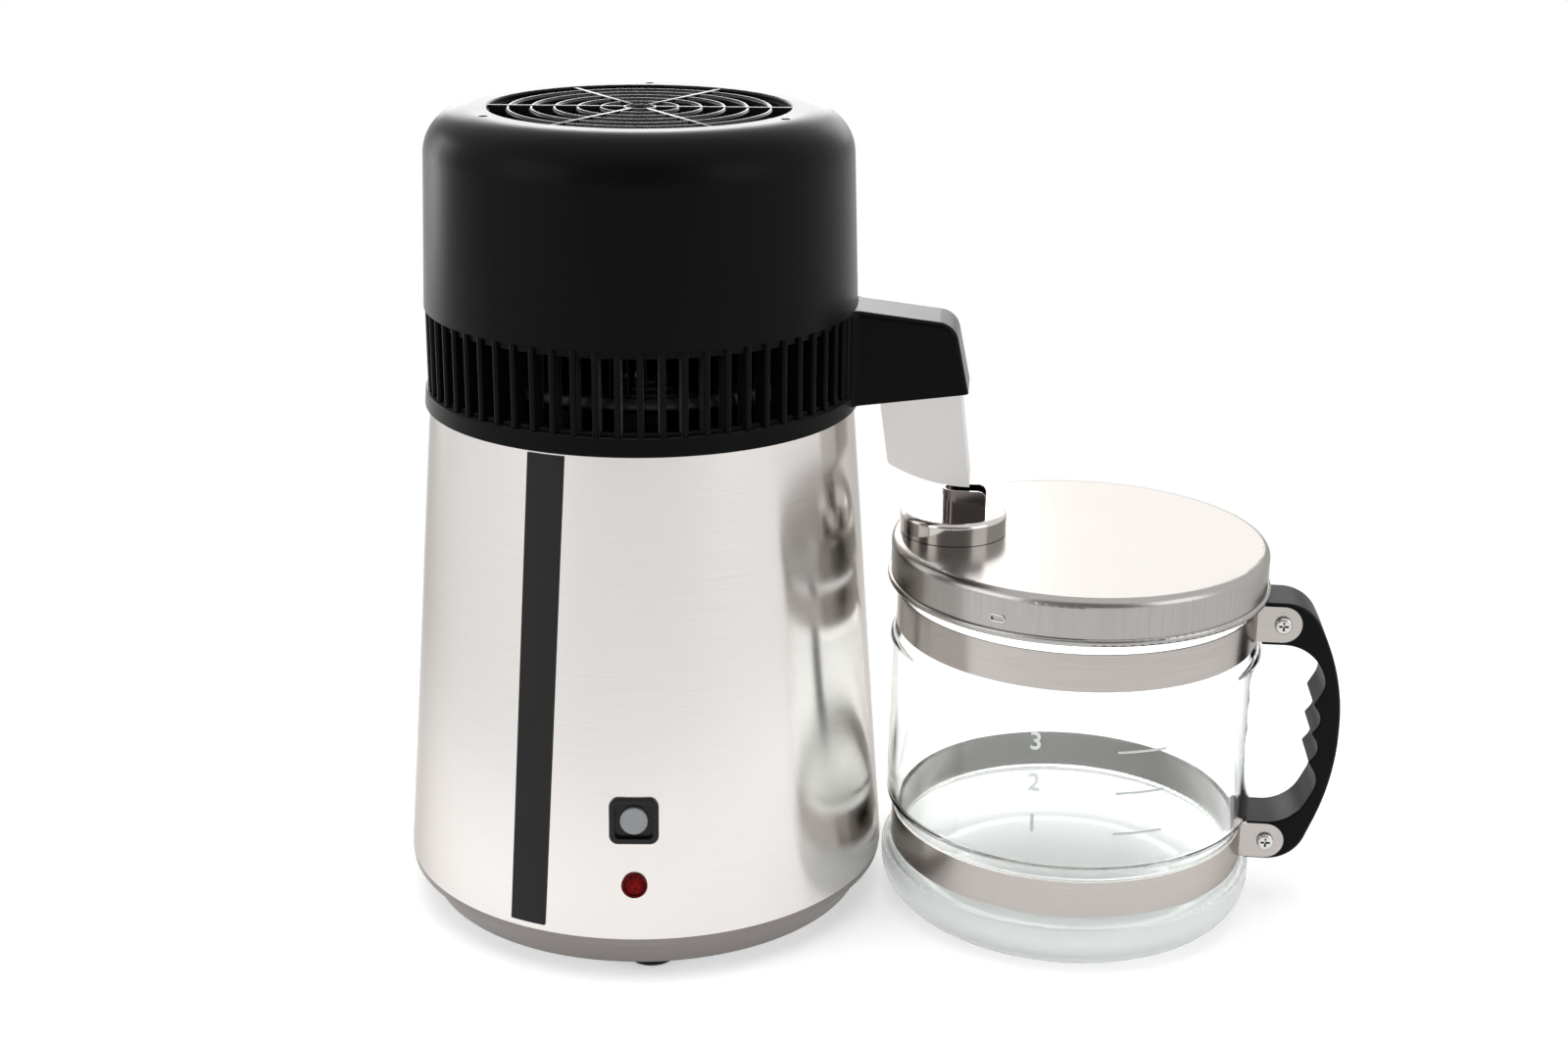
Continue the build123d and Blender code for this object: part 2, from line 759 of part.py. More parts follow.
# Trim strip: thin strip that follows the casing, a little out of the upright
strip_foot_z = casing_foot_z + strip_foot_gap
strip_top_z = skirt_z - strip_top_gap
strip_height = strip_top_z - strip_foot_z
with BuildPart() as trim_strip:
    with BuildSketch(distiller_section):
        with BuildLine():
            rounded_outline(
                (casing_r(strip_foot_z) + strip_glue, strip_foot_z),
                (casing_r(strip_foot_z) + strip_glue + strip_sheet, strip_foot_z),
                (casing_r(strip_top_z) + strip_glue + strip_sheet, strip_top_z),
                (casing_r(strip_top_z) + strip_glue, strip_top_z),
            )
        make_face()
    revolve(axis=distiller_axis)
    with BuildSketch(facing(distiller_x, strip_azimuth, strip_foot_z + strip_height / 2, 0)):
        Rectangle(strip_width, strip_height + 2 * overrun, rotation=strip_slant)
    extrude(amount=casing_foot_r + overrun, mode=Mode.INTERSECT)
write(trim_strip, "trim_strip")

# Mains inlet: flanged socket in the back of the casing
with BuildPart() as mains_inlet:
    with BuildSketch(inlet_face):
        RectangleRounded(inlet_flange_width, inlet_flange_height, inlet_flange_corner_r)
    extrude(amount=-overrun)
    with BuildSketch(distiller_section):
        with BuildLine():
            rounded_outline(
                (0, casing_foot_z),
                (casing_foot_r, casing_foot_z),
                (casing_top_r, casing_top_z),
                (0, casing_top_z),
            )
        make_face()
    revolve(axis=distiller_axis, mode=Mode.SUBTRACT)
    with BuildSketch(inlet_face):
        RectangleRounded(inlet_body_width, inlet_body_height, inlet_corner_r)
    extrude(amount=-inlet_body_depth)
    with BuildSketch(inlet_face):
        RectangleRounded(inlet_socket_width, inlet_socket_height, inlet_corner_r)
    extrude(amount=-inlet_socket_depth, mode=Mode.SUBTRACT)
write(mains_inlet, "mains_inlet")

# Inlet pins: three blades that stand on the socket's floor
with BuildPart() as inlet_pins:
    with BuildSketch(inlet_face.offset(-inlet_socket_depth)):
        with Locations((pin_spread, 0), (-pin_spread, 0), (0, pin_earth_rise)):
            Rectangle(pin_width, pin_height)
    extrude(amount=inlet_socket_depth - pin_sink)
write(inlet_pins, "inlet_pins")

# Fan socket: small outlet for the head's lead, with two contact holes
with BuildPart() as fan_socket:
    with BuildSketch(fan_socket_face):
        RectangleRounded(fan_socket_width, fan_socket_height, fan_socket_corner_r)
    extrude(amount=-overrun)
    with BuildSketch(distiller_section):
        with BuildLine():
            rounded_outline(
                (0, casing_foot_z),
                (casing_foot_r, casing_foot_z),
                (casing_top_r, casing_top_z),
                (0, casing_top_z),
            )
        make_face()
    revolve(axis=distiller_axis, mode=Mode.SUBTRACT)
    with BuildSketch(fan_socket_face):
        RectangleRounded(fan_neck_width, fan_neck_height, fan_neck_corner_r)
    extrude(amount=-fan_socket_depth)
    with BuildSketch(fan_socket_face):
        with Locations((fan_contact_spread, 0), (-fan_contact_spread, 0)):
            Circle(fan_contact_r)
    extrude(amount=-fan_contact_depth, mode=Mode.SUBTRACT)
write(fan_socket, "fan_socket")

# Dome seal: flat silicone ring on the pot's flange
dome_r = skirt_r - dome_gap
with BuildPart() as dome_seal:
    with BuildSketch(level(distiller_x, rim_z)):
        Circle(pot_flange_r - seal_inset)
        Circle(pot_r + seal_lap, mode=Mode.SUBTRACT)
    extrude(amount=seal_height)
write(dome_seal, "dome_seal")

# Steam dome: pressed cover over the pot, with a raised crown and the tube's hole
riser_y = coil_riser_bend
dome_crown_r = fin_inner_r - dome_crown_gap
with BuildPart() as steam_dome:
    with BuildSketch(distiller_section):
        with BuildLine():
            rounded_outline(
                (0, dome_z + dome_crown_rise),
                (dome_crown_r, dome_z + dome_crown_rise),
                (dome_crown_r + dome_crown_rise, dome_z),
                (dome_r, dome_z),
                (dome_r, dome_top_z),
                (dome_crown_r + dome_crown_rise + dome_sheet / 2, dome_top_z),
                (dome_crown_r + dome_sheet / 2, dome_top_z + dome_crown_rise),
                (0, dome_top_z + dome_crown_rise),
            )
        make_face()
    revolve(axis=distiller_axis)
    with BuildSketch(level(distiller_x, dome_z)):
        with Locations((0, riser_y)):
            Circle(tube_r + seat_gap)
    extrude(amount=overrun, mode=Mode.SUBTRACT)
write(steam_dome, "steam_dome")

# Condenser coil: one tube, up out of the dome, round in growing half turns, out along
# the spout arm and down into the nozzle
crossings = [0, coil_inner]
for half_turn in range(2 * coil_turns - 1):
    side = -1 if half_turn % 2 == 0 else 1
    crossings.append(side * (coil_inner + coil_pitch * (half_turn + 1) / 2))
outer_crossing = coil_inner + coil_pitch * coil_turns
outer_centre = (outer_crossing + crossings[-1]) / 2
outer_r = (outer_crossing - crossings[-1]) / 2
outlet_turn = asin(coil_outlet_bend / (outer_r + coil_outlet_bend))
outlet_swing = outer_r + coil_outlet_bend
outlet_x = outer_centre + outlet_swing * cos(outlet_turn)
drop_x = arm_reach - outlet_setback - coil_outlet_bend
tube_tail = 2 * tube_r
quarter = radians(90 / 2)


def coil_point(x, y, z=coil_z):
    """Place on the coil, from the distiller's axis."""
    return (distiller_x + x, y, z)


riser_top = coil_z - coil_riser_bend
outlet_bottom = coil_z - coil_outlet_bend
with BuildPart() as condenser_coil:
    with BuildLine() as coil_path:
        Line(coil_point(0, riser_y, riser_top - tube_tail), coil_point(0, riser_y, riser_top))
        ThreePointArc(
            coil_point(0, riser_y, riser_top),
            coil_point(0, riser_y * cos(quarter), riser_top + coil_riser_bend * sin(quarter)),
            coil_point(0, 0),
        )
        for start, end in zip(crossings[:-1], crossings[1:]):
            bulge = -abs(end - start) / 2 if end > start else abs(end - start) / 2
            ThreePointArc(coil_point(start, 0), coil_point((start + end) / 2, bulge), coil_point(end, 0))
        leaving = (outer_centre + outer_r * cos(outlet_turn), -outer_r * sin(outlet_turn))
        ThreePointArc(
            coil_point(crossings[-1], 0),
            coil_point(outer_centre, -outer_r),
            coil_point(*leaving),
        )
        half_out = (radians(90) - outlet_turn) / 2
        ThreePointArc(
            coil_point(*leaving),
            coil_point(
                outlet_x - coil_outlet_bend * sin(half_out),
                -coil_outlet_bend + coil_outlet_bend * cos(half_out),
            ),
            coil_point(outlet_x, 0),
        )
        Line(coil_point(outlet_x, 0), coil_point(drop_x, 0))
        ThreePointArc(
            coil_point(drop_x, 0),
            coil_point(
                drop_x + coil_outlet_bend * sin(quarter),
                0,
                outlet_bottom + coil_outlet_bend * cos(quarter),
            ),
            coil_point(drop_x + coil_outlet_bend, 0, outlet_bottom),
        )
        Line(
            coil_point(drop_x + coil_outlet_bend, 0, outlet_bottom),
            coil_point(drop_x + coil_outlet_bend, 0, outlet_bottom - tube_tail),
        )
    tube_line = coil_path.wire()
    with BuildSketch(Plane(origin=tube_line @ 0, z_dir=tube_line % 0)):
        Circle(tube_r)
    sweep(path=tube_line)
    with BuildSketch(Plane(origin=tube_line @ 0, z_dir=tube_line % 0)):
        Circle(tube_bore_r)
    extrude(amount=tube_tail, mode=Mode.SUBTRACT)
    with BuildSketch(Plane(origin=tube_line @ 1, z_dir=-(tube_line % 1))):
        Circle(tube_bore_r)
    extrude(amount=tube_tail, mode=Mode.SUBTRACT)
write(condenser_coil, "condenser_coil")

# Least gap between the tube and itself, measured on points along its path
coil_length = tube_line.length
gap_samples = int(coil_length / tube_r) * 2
walk = [tuple(tube_line @ (i / gap_samples)) for i in range(gap_samples + 1)]
near_samples = int(gap_samples * 3 * tube_tail / coil_length)
least_gap = min(
    dist(walk[i], walk[j]) - 2 * tube_r
    for i in range(len(walk))
    for j in range(i + near_samples, len(walk))
)
print(f"condenser tube: length {coil_length:.0f} mm, least gap to itself {least_gap:.2f} mm")

# Coil brackets: bars between the steam dome and the coil
with BuildPart() as coil_brackets:
    with BuildSketch(level(distiller_x, dome_top_z)):
        with PolarLocations((fin_inner_r + fin_outer_r) / 2, bar_count, start_angle=rear_azimuth):
            Rectangle(fin_outer_r - fin_inner_r, bar_width)
    extrude(amount=coil_lift - contact_gap)
write(coil_brackets, "coil_brackets")

# Condenser fins: radial plates on an inner ring, standing on the coil
with BuildPart() as condenser_fins:
    with BuildSketch(level(distiller_x, coil_z + tube_r + contact_gap)):
        Circle(fin_inner_r)
        Circle(fin_inner_r - fin_ring_wall, mode=Mode.SUBTRACT)
        with PolarLocations((fin_inner_r + fin_outer_r - fin_ring_wall) / 2, fin_count):
            Rectangle(fin_outer_r - fin_inner_r + fin_ring_wall, fin_sheet)
    extrude(amount=fin_height)
write(condenser_fins, "condenser_fins")

# Spout collar: lower band of the head, moulded in one with the hollow spout arm
arm_root_z = skirt_z + arm_low_lift
arm_root_top_z = cover_z + arm_rise
arm_end_top_z = arm_root_top_z - arm_fall
arm_end_low_z = arm_root_z + arm_low_rise
arm_toe_x = arm_reach + arm_end_lean
arm_plan_z = arm_root_z - overrun
collar_r = casing_top_r + collar_proud
with BuildPart() as spout_collar:
    with BuildSketch(distiller_section):
        with BuildLine():
            rounded_outline(
                (collar_ledge_r, arm_root_z),
                (arm_root_r, arm_root_z),
                (arm_toe_x, arm_end_low_z),
                (arm_reach, arm_end_top_z, arm_corner_r),
                (collar_ledge_r, arm_root_top_z),
            )
        make_face()
    extrude(amount=arm_root_half_width + overrun, both=True)
    with BuildSketch(level(distiller_x, arm_plan_z)) as arm_plan:
        Circle(arm_root_r)
        with Locations((arm_root_r, 0)):
            Rectangle(arm_root_r, 2 * arm_root_half_width, mode=Mode.INTERSECT)
        with Locations((collar_ledge_r, 0)):
            Rectangle(arm_toe_x, 2 * arm_half_width, align=(Align.MIN, Align.CENTER))
        Circle(collar_ledge_r, mode=Mode.SUBTRACT)
        notch_x = sqrt(arm_root_r**2 - arm_half_width**2)
        notches = [
            arm_plan.vertices().sort_by_distance((notch_x, side * arm_half_width, 0))[0]
            for side in (1, -1)
        ]
        fillet(notches, arm_root_fillet)
    extrude(amount=arm_root_top_z - arm_plan_z + overrun, mode=Mode.INTERSECT)
    arm_mid_x = distiller_x + (arm_root_r + arm_reach) / 2
    arm_edges = [
        edge
        for edge in spout_collar.edges()
        if abs(edge.center().Y) > arm_half_width - seat_gap
        and edge.center().X > arm_mid_x - arm_root_fillet
        and edge.center().Z > arm_end_low_z + arm_edge_r
    ]
    fillet(arm_edges, arm_edge_r)
    with BuildSketch(distiller_section):
        with BuildLine():
            rounded_outline(
                (0, cover_z),
                (cover_foot_r + contact_gap, cover_z),
                (cover_foot_r + contact_gap, top_z),
                (0, top_z),
            )
        make_face()
        with BuildLine():
            rounded_outline(
                (0, skirt_z),
                (skirt_r, skirt_z),
                (skirt_r, dome_top_z),
                (0, dome_top_z),
            )
        make_face()
    revolve(axis=distiller_axis, mode=Mode.SUBTRACT)
    cavity_x = arm_root_r + arm_wall
    heel_x = arm_root_r + arm_heel
    heel_z = arm_root_z + arm_heel_floor
    arm_slope = arm_fall / (arm_reach - collar_ledge_r)
    cavity_top_z = arm_root_top_z - arm_slope * (cavity_x - collar_ledge_r) - arm_wall
    with BuildSketch(distiller_section):
        with BuildLine():
            rounded_outline(
                (heel_x, skirt_z - overrun),
                (heel_x, heel_z),
                (cavity_x, heel_z),
                (cavity_x, cavity_top_z),
                (arm_reach - arm_wall, arm_end_top_z - arm_wall, arm_corner_r - arm_wall),
                (arm_toe_x - arm_wall, arm_end_low_z),
                (arm_toe_x - arm_wall, skirt_z - overrun),
            )
        make_face()
    extrude(amount=arm_half_width - arm_wall, both=True, mode=Mode.SUBTRACT)
    with BuildSketch(distiller_section):
        with BuildLine():
            rounded_outline(
                (skirt_r, skirt_z),
                (collar_r, skirt_z, collar_edge_r),
                (collar_r - collar_taper, vent_z, collar_edge_r),
                (collar_ledge_r, vent_z),
                (collar_ledge_r, dome_top_z),
                (skirt_r, dome_top_z),
            )
        make_face()
    revolve(axis=distiller_axis)
    with BuildSketch(facing(distiller_x, 0, coil_z, collar_ledge_r - overrun)):
        Circle(tube_r + tube_port_gap)
    extrude(amount=cavity_x - collar_ledge_r + 2 * overrun, mode=Mode.SUBTRACT)
write(spout_collar, "spout_collar")

# Spout nozzle: bent sheet cup in the arm, with a hole over the jug
nozzle_half_width = arm_half_width - arm_wall - seat_gap
nozzle_top_z = arm_root_z + nozzle_top_lift
nozzle_back_z = nozzle_top_z - nozzle_back_height
nozzle_tip_z = nozzle_back_z - nozzle_toe_drop
nozzle_back_x = arm_root_r + nozzle_back_gap
nozzle_front_x = arm_toe_x - arm_wall - nozzle_front_gap
nozzle_tip_x = nozzle_front_x + nozzle_front_lean
nozzle_heel_x = nozzle_back_x + nozzle_back_lean
nozzle_run = nozzle_tip_x - nozzle_heel_x
nozzle_sole_r = (nozzle_run**2 + nozzle_toe_drop**2) / (2 * nozzle_toe_drop)


def sole_z(x):
    """Height of the nozzle's curved sole at a distance from the distiller's axis."""
    return nozzle_tip_z + nozzle_sole_r - sqrt(nozzle_sole_r**2 - (nozzle_tip_x - x) ** 2)


sole_mid_x = (nozzle_heel_x + nozzle_tip_x) / 2


def nozzle_outline():
    """Nozzle seen from the side: two leaning edges and a curved sole."""
    Polyline(
        (nozzle_tip_x, nozzle_tip_z),
        (nozzle_front_x, nozzle_top_z),
        (nozzle_back_x, nozzle_top_z),
        (nozzle_heel_x, nozzle_back_z),
    )
    ThreePointArc(
        (nozzle_heel_x, nozzle_back_z),
        (sole_mid_x, sole_z(sole_mid_x)),
        (nozzle_tip_x, nozzle_tip_z),
    )


with BuildPart() as spout_nozzle:
    with BuildSketch(distiller_section) as nozzle_side:
        with BuildLine():
            nozzle_outline()
        make_face()
        heel = nozzle_side.vertices().sort_by_distance((nozzle_heel_x, nozzle_back_z, 0))[0]
        fillet(heel, nozzle_heel_r)
    extrude(amount=nozzle_half_width, both=True)
    offset(amount=-nozzle_sheet, openings=spout_nozzle.faces().sort_by(Axis.Z)[-1])
    with BuildSketch(level(distiller_x, nozzle_tip_z - overrun)):
        with Locations((nozzle_tip_x - nozzle_hole_setback, 0)):
            Circle(nozzle_hole_r)
    extrude(amount=2 * overrun, mode=Mode.SUBTRACT)
write(spout_nozzle, "spout_nozzle")

# Carbon filter: pad that lies on the nozzle's sole
with BuildPart() as carbon_filter:
    with BuildSketch(distiller_section) as filter_side:
        with BuildLine():
            nozzle_outline()
        make_face()
        offset(amount=-(nozzle_sheet + contact_gap))
        with Locations((nozzle_heel_x, nozzle_back_z)):
            Rectangle(2 * nozzle_run, filter_height, mode=Mode.INTERSECT)
    extrude(amount=nozzle_half_width - nozzle_sheet - contact_gap, both=True)
write(carbon_filter, "carbon_filter")

# Vent ring: upright slats between a foot ring and a head ring, open where the arm comes in
slat_pitch = 360 / slat_count
arm_half_angle = degrees(asin((arm_root_half_width + contact_gap) / arm_root_r))
slat_start = (int(arm_half_angle / slat_pitch - 1 / 2) + 3 / 2) * slat_pitch
slats_shown = int(round((360 - 2 * slat_start) / slat_pitch)) + 1
spigot_r = cover_foot_r - cover_wall - 2 * contact_gap
with BuildPart() as vent_ring:
    with BuildSketch(distiller_section):
        with BuildLine():
            rounded_outline(
                (collar_ledge_r, vent_z),
                (slat_front_r - vent_foot_inset, vent_z),
                (slat_front_r - vent_foot_inset, vent_z + vent_foot_height),
                (collar_ledge_r, vent_z + vent_foot_height),
            )
        make_face()
        with BuildLine():
            rounded_outline(
                (vent_head_r - vent_head_width, cover_z - vent_head_height),
                (vent_head_r, cover_z - vent_head_height),
                (vent_head_r, cover_z),
                (spigot_r, cover_z),
                (spigot_r, cover_z + vent_spigot_height),
                (spigot_r - vent_spigot_wall, cover_z + vent_spigot_height),
                (spigot_r - vent_spigot_wall, cover_z),
                (vent_head_r - vent_head_width, cover_z),
            )
        make_face()
    revolve(axis=distiller_axis)
    with BuildSketch(level(distiller_x, vent_z)):
        with PolarLocations(
            slat_front_r - slat_depth / 2,
            slats_shown,
            start_angle=slat_start,
            angular_range=360 - 2 * slat_start,
            endpoint=True,
        ):
            SlotOverall(slat_depth, slat_width)
    extrude(amount=vent_height)
    with BuildSketch(level(distiller_x, vent_z)):
        Rectangle(
            2 * slat_front_r,
            2 * (arm_root_half_width + contact_gap),
            align=(Align.MIN, Align.CENTER),
        )
    extrude(amount=vent_height, mode=Mode.SUBTRACT)
write(vent_ring, "vent_ring")

# Head cover: moulded hood with the fan's opening, screw holes and the inlet's hole
head_inlet_z = cover_z + head_inlet_lift
cover_slope = (cover_foot_r - cover_top_r) / cover_height
head_inlet_reach = cover_foot_r - cover_slope * (head_inlet_lift - head_inlet_height / 2) + head_inlet_proud
head_inlet_face = facing(distiller_x, rear_azimuth, head_inlet_z, head_inlet_reach)
head_neck_width = head_inlet_width - 2 * head_inlet_neck_inset
head_neck_height = head_inlet_height - 2 * head_inlet_neck_inset
head_neck_corner_r = head_inlet_corner_r - head_inlet_neck_inset / 2
cover_screw_azimuth = rear_azimuth + cover_turn
with BuildPart() as head_cover:
    with BuildSketch(distiller_section):
        with BuildLine():
            rounded_outline(
                (cover_foot_r, cover_z),
                (cover_top_r, top_z, cover_edge_r),
                (opening_r, top_z, cover_lip_r),
                (opening_r, top_z - cover_wall),
                (cover_top_r - cover_wall, top_z - cover_wall, cover_inner_edge_r),
                (cover_foot_r - cover_wall, cover_z),
            )
        make_face()
    revolve(axis=distiller_axis)
    with Locations(level(distiller_x, top_z)):
        with PolarLocations(cover_screw_circle_r, cover_screw_count, start_angle=cover_screw_azimuth):
            CounterBoreHole(
                radius=cover_screw_r + seat_gap,
                counter_bore_radius=cover_screw_head_r + seat_gap,
                counter_bore_depth=cover_screw_sink + cover_screw_head_height,
                depth=cover_wall + overrun,
            )
    with BuildSketch(head_inlet_face):
        RectangleRounded(head_neck_width + 2 * seat_gap, head_neck_height + 2 * seat_gap, head_neck_corner_r)
    extrude(amount=2 * overrun, both=True, mode=Mode.SUBTRACT)
write(head_cover, "head_cover")

# Fan grille: rings and spokes on a flange under the cover's top
flange_top_z = top_z - cover_wall
flange_z = flange_top_z - grille_flange_height
grille_mid_z = top_z - grille_sink - grille_depth / 2
spoke_end_r = opening_r - grille_flange_lap / 2
grille_pitch = (opening_r - grille_hub_r) / (grille_ring_count + grille_edge_share)
grille_flange_r = opening_r + grille_flange_width
with BuildPart() as fan_grille:
    with BuildSketch(distiller_section):
        for ring in range(grille_ring_count + 1):
            with Locations((grille_hub_r + ring * grille_pitch, grille_mid_z)):
                SlotOverall(grille_depth, grille_bar, rotation=90)
        with Locations((opening_r - grille_flange_lap, flange_z)):
            Rectangle(
                grille_flange_r - opening_r + grille_flange_lap,
                grille_flange_height,
                align=(Align.MIN, Align.MIN),
            )
    revolve(axis=distiller_axis)
    with BuildSketch(level(distiller_x, flange_z)):
        with PolarLocations((grille_hub_r + spoke_end_r) / 2, grille_spoke_count, start_angle=cover_turn):
            Rectangle(spoke_end_r - grille_hub_r, grille_spoke_width)
    extrude(amount=top_z - grille_sink - grille_bar / 2 - flange_z)
    with BuildSketch(level(distiller_x, flange_z)):
        with PolarLocations(cover_screw_circle_r, cover_screw_count, start_angle=cover_screw_azimuth):
            Circle(cover_screw_r + seat_gap)
    extrude(amount=grille_flange_height, mode=Mode.SUBTRACT)
write(fan_grille, "fan_grille")

# Motor bracket: three flat arms under the grille's flange
bracket_z = flange_z - bracket_sheet
with BuildPart() as motor_bracket:
    with BuildSketch(level(distiller_x, bracket_z)):
        Circle(bracket_hub_r)
        with PolarLocations(cover_screw_circle_r / 2, cover_screw_count, start_angle=cover_screw_azimuth):
            Rectangle(cover_screw_circle_r, bracket_arm_width)
        with PolarLocations(cover_screw_circle_r, cover_screw_count, start_angle=cover_screw_azimuth):
            Circle(bracket_arm_width / 2)
        with PolarLocations(cover_screw_circle_r, cover_screw_count, start_angle=cover_screw_azimuth):
            Circle(cover_screw_r + seat_gap, mode=Mode.SUBTRACT)
    extrude(amount=bracket_sheet)
write(motor_bracket, "motor_bracket")

# Cover screws: through the cover, the grille's flange and the bracket
screw_seat_z = top_z - cover_screw_sink - cover_screw_head_height
with BuildPart() as cover_screws:
    with BuildSketch(level(distiller_x, screw_seat_z)):
        with PolarLocations(cover_screw_circle_r, cover_screw_count, start_angle=cover_screw_azimuth):
            Circle(cover_screw_head_r)
    extrude(amount=cover_screw_head_height)
    with BuildSketch(level(distiller_x, screw_seat_z)):
        with PolarLocations(cover_screw_circle_r, cover_screw_count, start_angle=cover_screw_azimuth):
            Circle(cover_screw_r)
    extrude(amount=bracket_z - screw_seat_z)
write(cover_screws, "cover_screws")

# Fan motor: can with a bearing boss, hanging under the bracket
motor_foot_z = bracket_z - motor_height
boss_z = motor_foot_z - motor_boss_height
with BuildPart() as fan_motor:
    with BuildSketch(level(distiller_x, motor_foot_z)):
        Circle(motor_r)
    extrude(amount=motor_height)
    fillet(fan_motor.edges().sort_by(Axis.Z)[0], motor_edge_r)
    with BuildSketch(level(distiller_x, boss_z)):
        Circle(motor_boss_r)
    extrude(amount=motor_boss_height)
    with BuildSketch(level(distiller_x, boss_z)):
        Circle(shaft_r + running_gap)
    extrude(amount=motor_bore_depth, mode=Mode.SUBTRACT)
write(fan_motor, "fan_motor")

# Fan shaft in the motor's bore
hub_top_z = boss_z - fan_gap
hub_z = hub_top_z - hub_height
with BuildPart() as fan_shaft:
    with BuildSketch(level(distiller_x, hub_z)):
        Circle(shaft_r)
    extrude(amount=boss_z + motor_bore_depth - contact_gap - hub_z)
write(fan_shaft, "fan_shaft")

# Fan rotor: hub with twisted blades
blade_z = hub_z + hub_height / 2
blade_tip_r = grille_flange_r - blade_tip_gap
with BuildPart() as fan_rotor:
    with BuildSketch(level(distiller_x, hub_z)):
        Circle(hub_r)
    extrude(amount=hub_height)
    fillet(fan_rotor.edges().sort_by(Axis.Z)[0], hub_edge_r)
    for blade in range(blade_count):
        azimuth = blade * 360 / blade_count
        with BuildSketch(facing(distiller_x, azimuth, blade_z, hub_r - blade_bury)):
            Rectangle(blade_root_chord, blade_sheet, rotation=blade_root_pitch)
        with BuildSketch(facing(distiller_x, azimuth, blade_z, blade_tip_r + overrun)):
            Rectangle(blade_tip_chord, blade_sheet, rotation=blade_tip_pitch)
        loft()
    with BuildSketch(level(distiller_x, hub_z - blade_tip_chord)):
        Circle(blade_tip_r)
    extrude(amount=2 * blade_tip_chord + hub_height, mode=Mode.INTERSECT)
    with BuildSketch(level(distiller_x, hub_z)):
        Circle(shaft_r + running_gap)
    extrude(amount=hub_height, mode=Mode.SUBTRACT)
write(fan_rotor, "fan_rotor")

# Head inlet: small flanged socket in the back of the cover, with two pins
with BuildPart() as head_inlet:
    with BuildSketch(head_inlet_face):
        RectangleRounded(head_inlet_width, head_inlet_height, head_inlet_corner_r)
    extrude(amount=-overrun)
    with BuildSketch(distiller_section):
        with BuildLine():
            rounded_outline(
                (0, cover_z),
                (cover_foot_r, cover_z),
                (cover_top_r, top_z),
                (0, top_z),
            )
        make_face()
    revolve(axis=distiller_axis, mode=Mode.SUBTRACT)
    with BuildSketch(head_inlet_face):
        RectangleRounded(head_neck_width, head_neck_height, head_neck_corner_r)
    extrude(amount=-head_inlet_depth)
    with BuildSketch(head_inlet_face):
        RectangleRounded(
            head_neck_width - 2 * head_inlet_wall,
            head_neck_height - 2 * head_inlet_wall,
            head_neck_corner_r - head_inlet_wall / 2,
        )
    extrude(amount=-(head_inlet_depth - head_inlet_floor), mode=Mode.SUBTRACT)
    with BuildSketch(head_inlet_face.offset(-head_inlet_depth)):
        with Locations((head_pin_spread, 0), (-head_pin_spread, 0)):
            Circle(head_pin_r)
    extrude(amount=head_inlet_depth - head_pin_sink)
write(head_inlet, "head_inlet")

# Jug glass: blown jar with two band grooves, a rounded foot and lid ridges on its neck
glass_body_r = glass_foot_r - glass_body_inset
glass_rest_r = glass_foot_r - glass_rest_inset
glass_top_z = band_up_z + band_height + glass_neck_height
ridge_z = glass_top_z - ridge_drop
low_groove_z = band_low_z - groove_margin
low_groove_top_z = band_low_z + band_height + groove_margin
up_groove_z = band_up_z - groove_margin
ledge_z = low_groove_top_z + ledge_rise
shoulder_z = up_groove_z - shoulder_drop
with BuildPart() as jug_glass:
    with BuildSketch(jug_section):
        with BuildLine():
            rounded_outline(
                (0, glass_punt),
                (glass_rest_r - glass_punt_slope, glass_punt),
                (glass_rest_r, 0),
                (glass_foot_r, 0, glass_foot_edge_r),
                (glass_foot_r, low_groove_z - groove_slope, glass_round),
                (groove_r, low_groove_z, glass_round),
                (groove_r, low_groove_top_z, glass_round),
                (glass_body_r, ledge_z, glass_wall),
                (glass_body_r, shoulder_z, glass_wall),
                (groove_r, up_groove_z, glass_round),
                (groove_r, glass_top_z, glass_round),
                (groove_r - glass_wall, glass_top_z, glass_round),
                (groove_r - glass_wall, up_groove_z, glass_wall),
                (glass_body_r - glass_wall, shoulder_z - glass_round, glass_wall),
                (glass_body_r - glass_wall, ledge_z + glass_round, glass_wall),
                (groove_r - glass_wall, low_groove_top_z, glass_wall),
                (groove_r - glass_wall, low_groove_z, glass_wall),
                (glass_foot_r - glass_wall, low_groove_z - groove_slope - glass_round, glass_wall),
                (glass_foot_r - glass_wall, glass_floor, glass_foot_edge_r - glass_wall),
                (0, glass_floor),
            )
        make_face()
    revolve(axis=jug_axis)
    for lug in range(lug_count):
        ridge_azimuth = lug_azimuth - ridge_arc / 2 + lug * 360 / lug_count
        with BuildSketch(upright(jug_x, ridge_azimuth)):
            with BuildLine():
                rounded_outline(
                    (groove_r - glass_round, ridge_z),
                    (groove_r + ridge_proud, ridge_z),
                    (groove_r + ridge_proud, ridge_z + ridge_height),
                    (groove_r - glass_round, ridge_z + ridge_height),
                )
            make_face()
        revolve(axis=jug_axis, revolution_arc=ridge_arc)
write(jug_glass, "jug_glass")

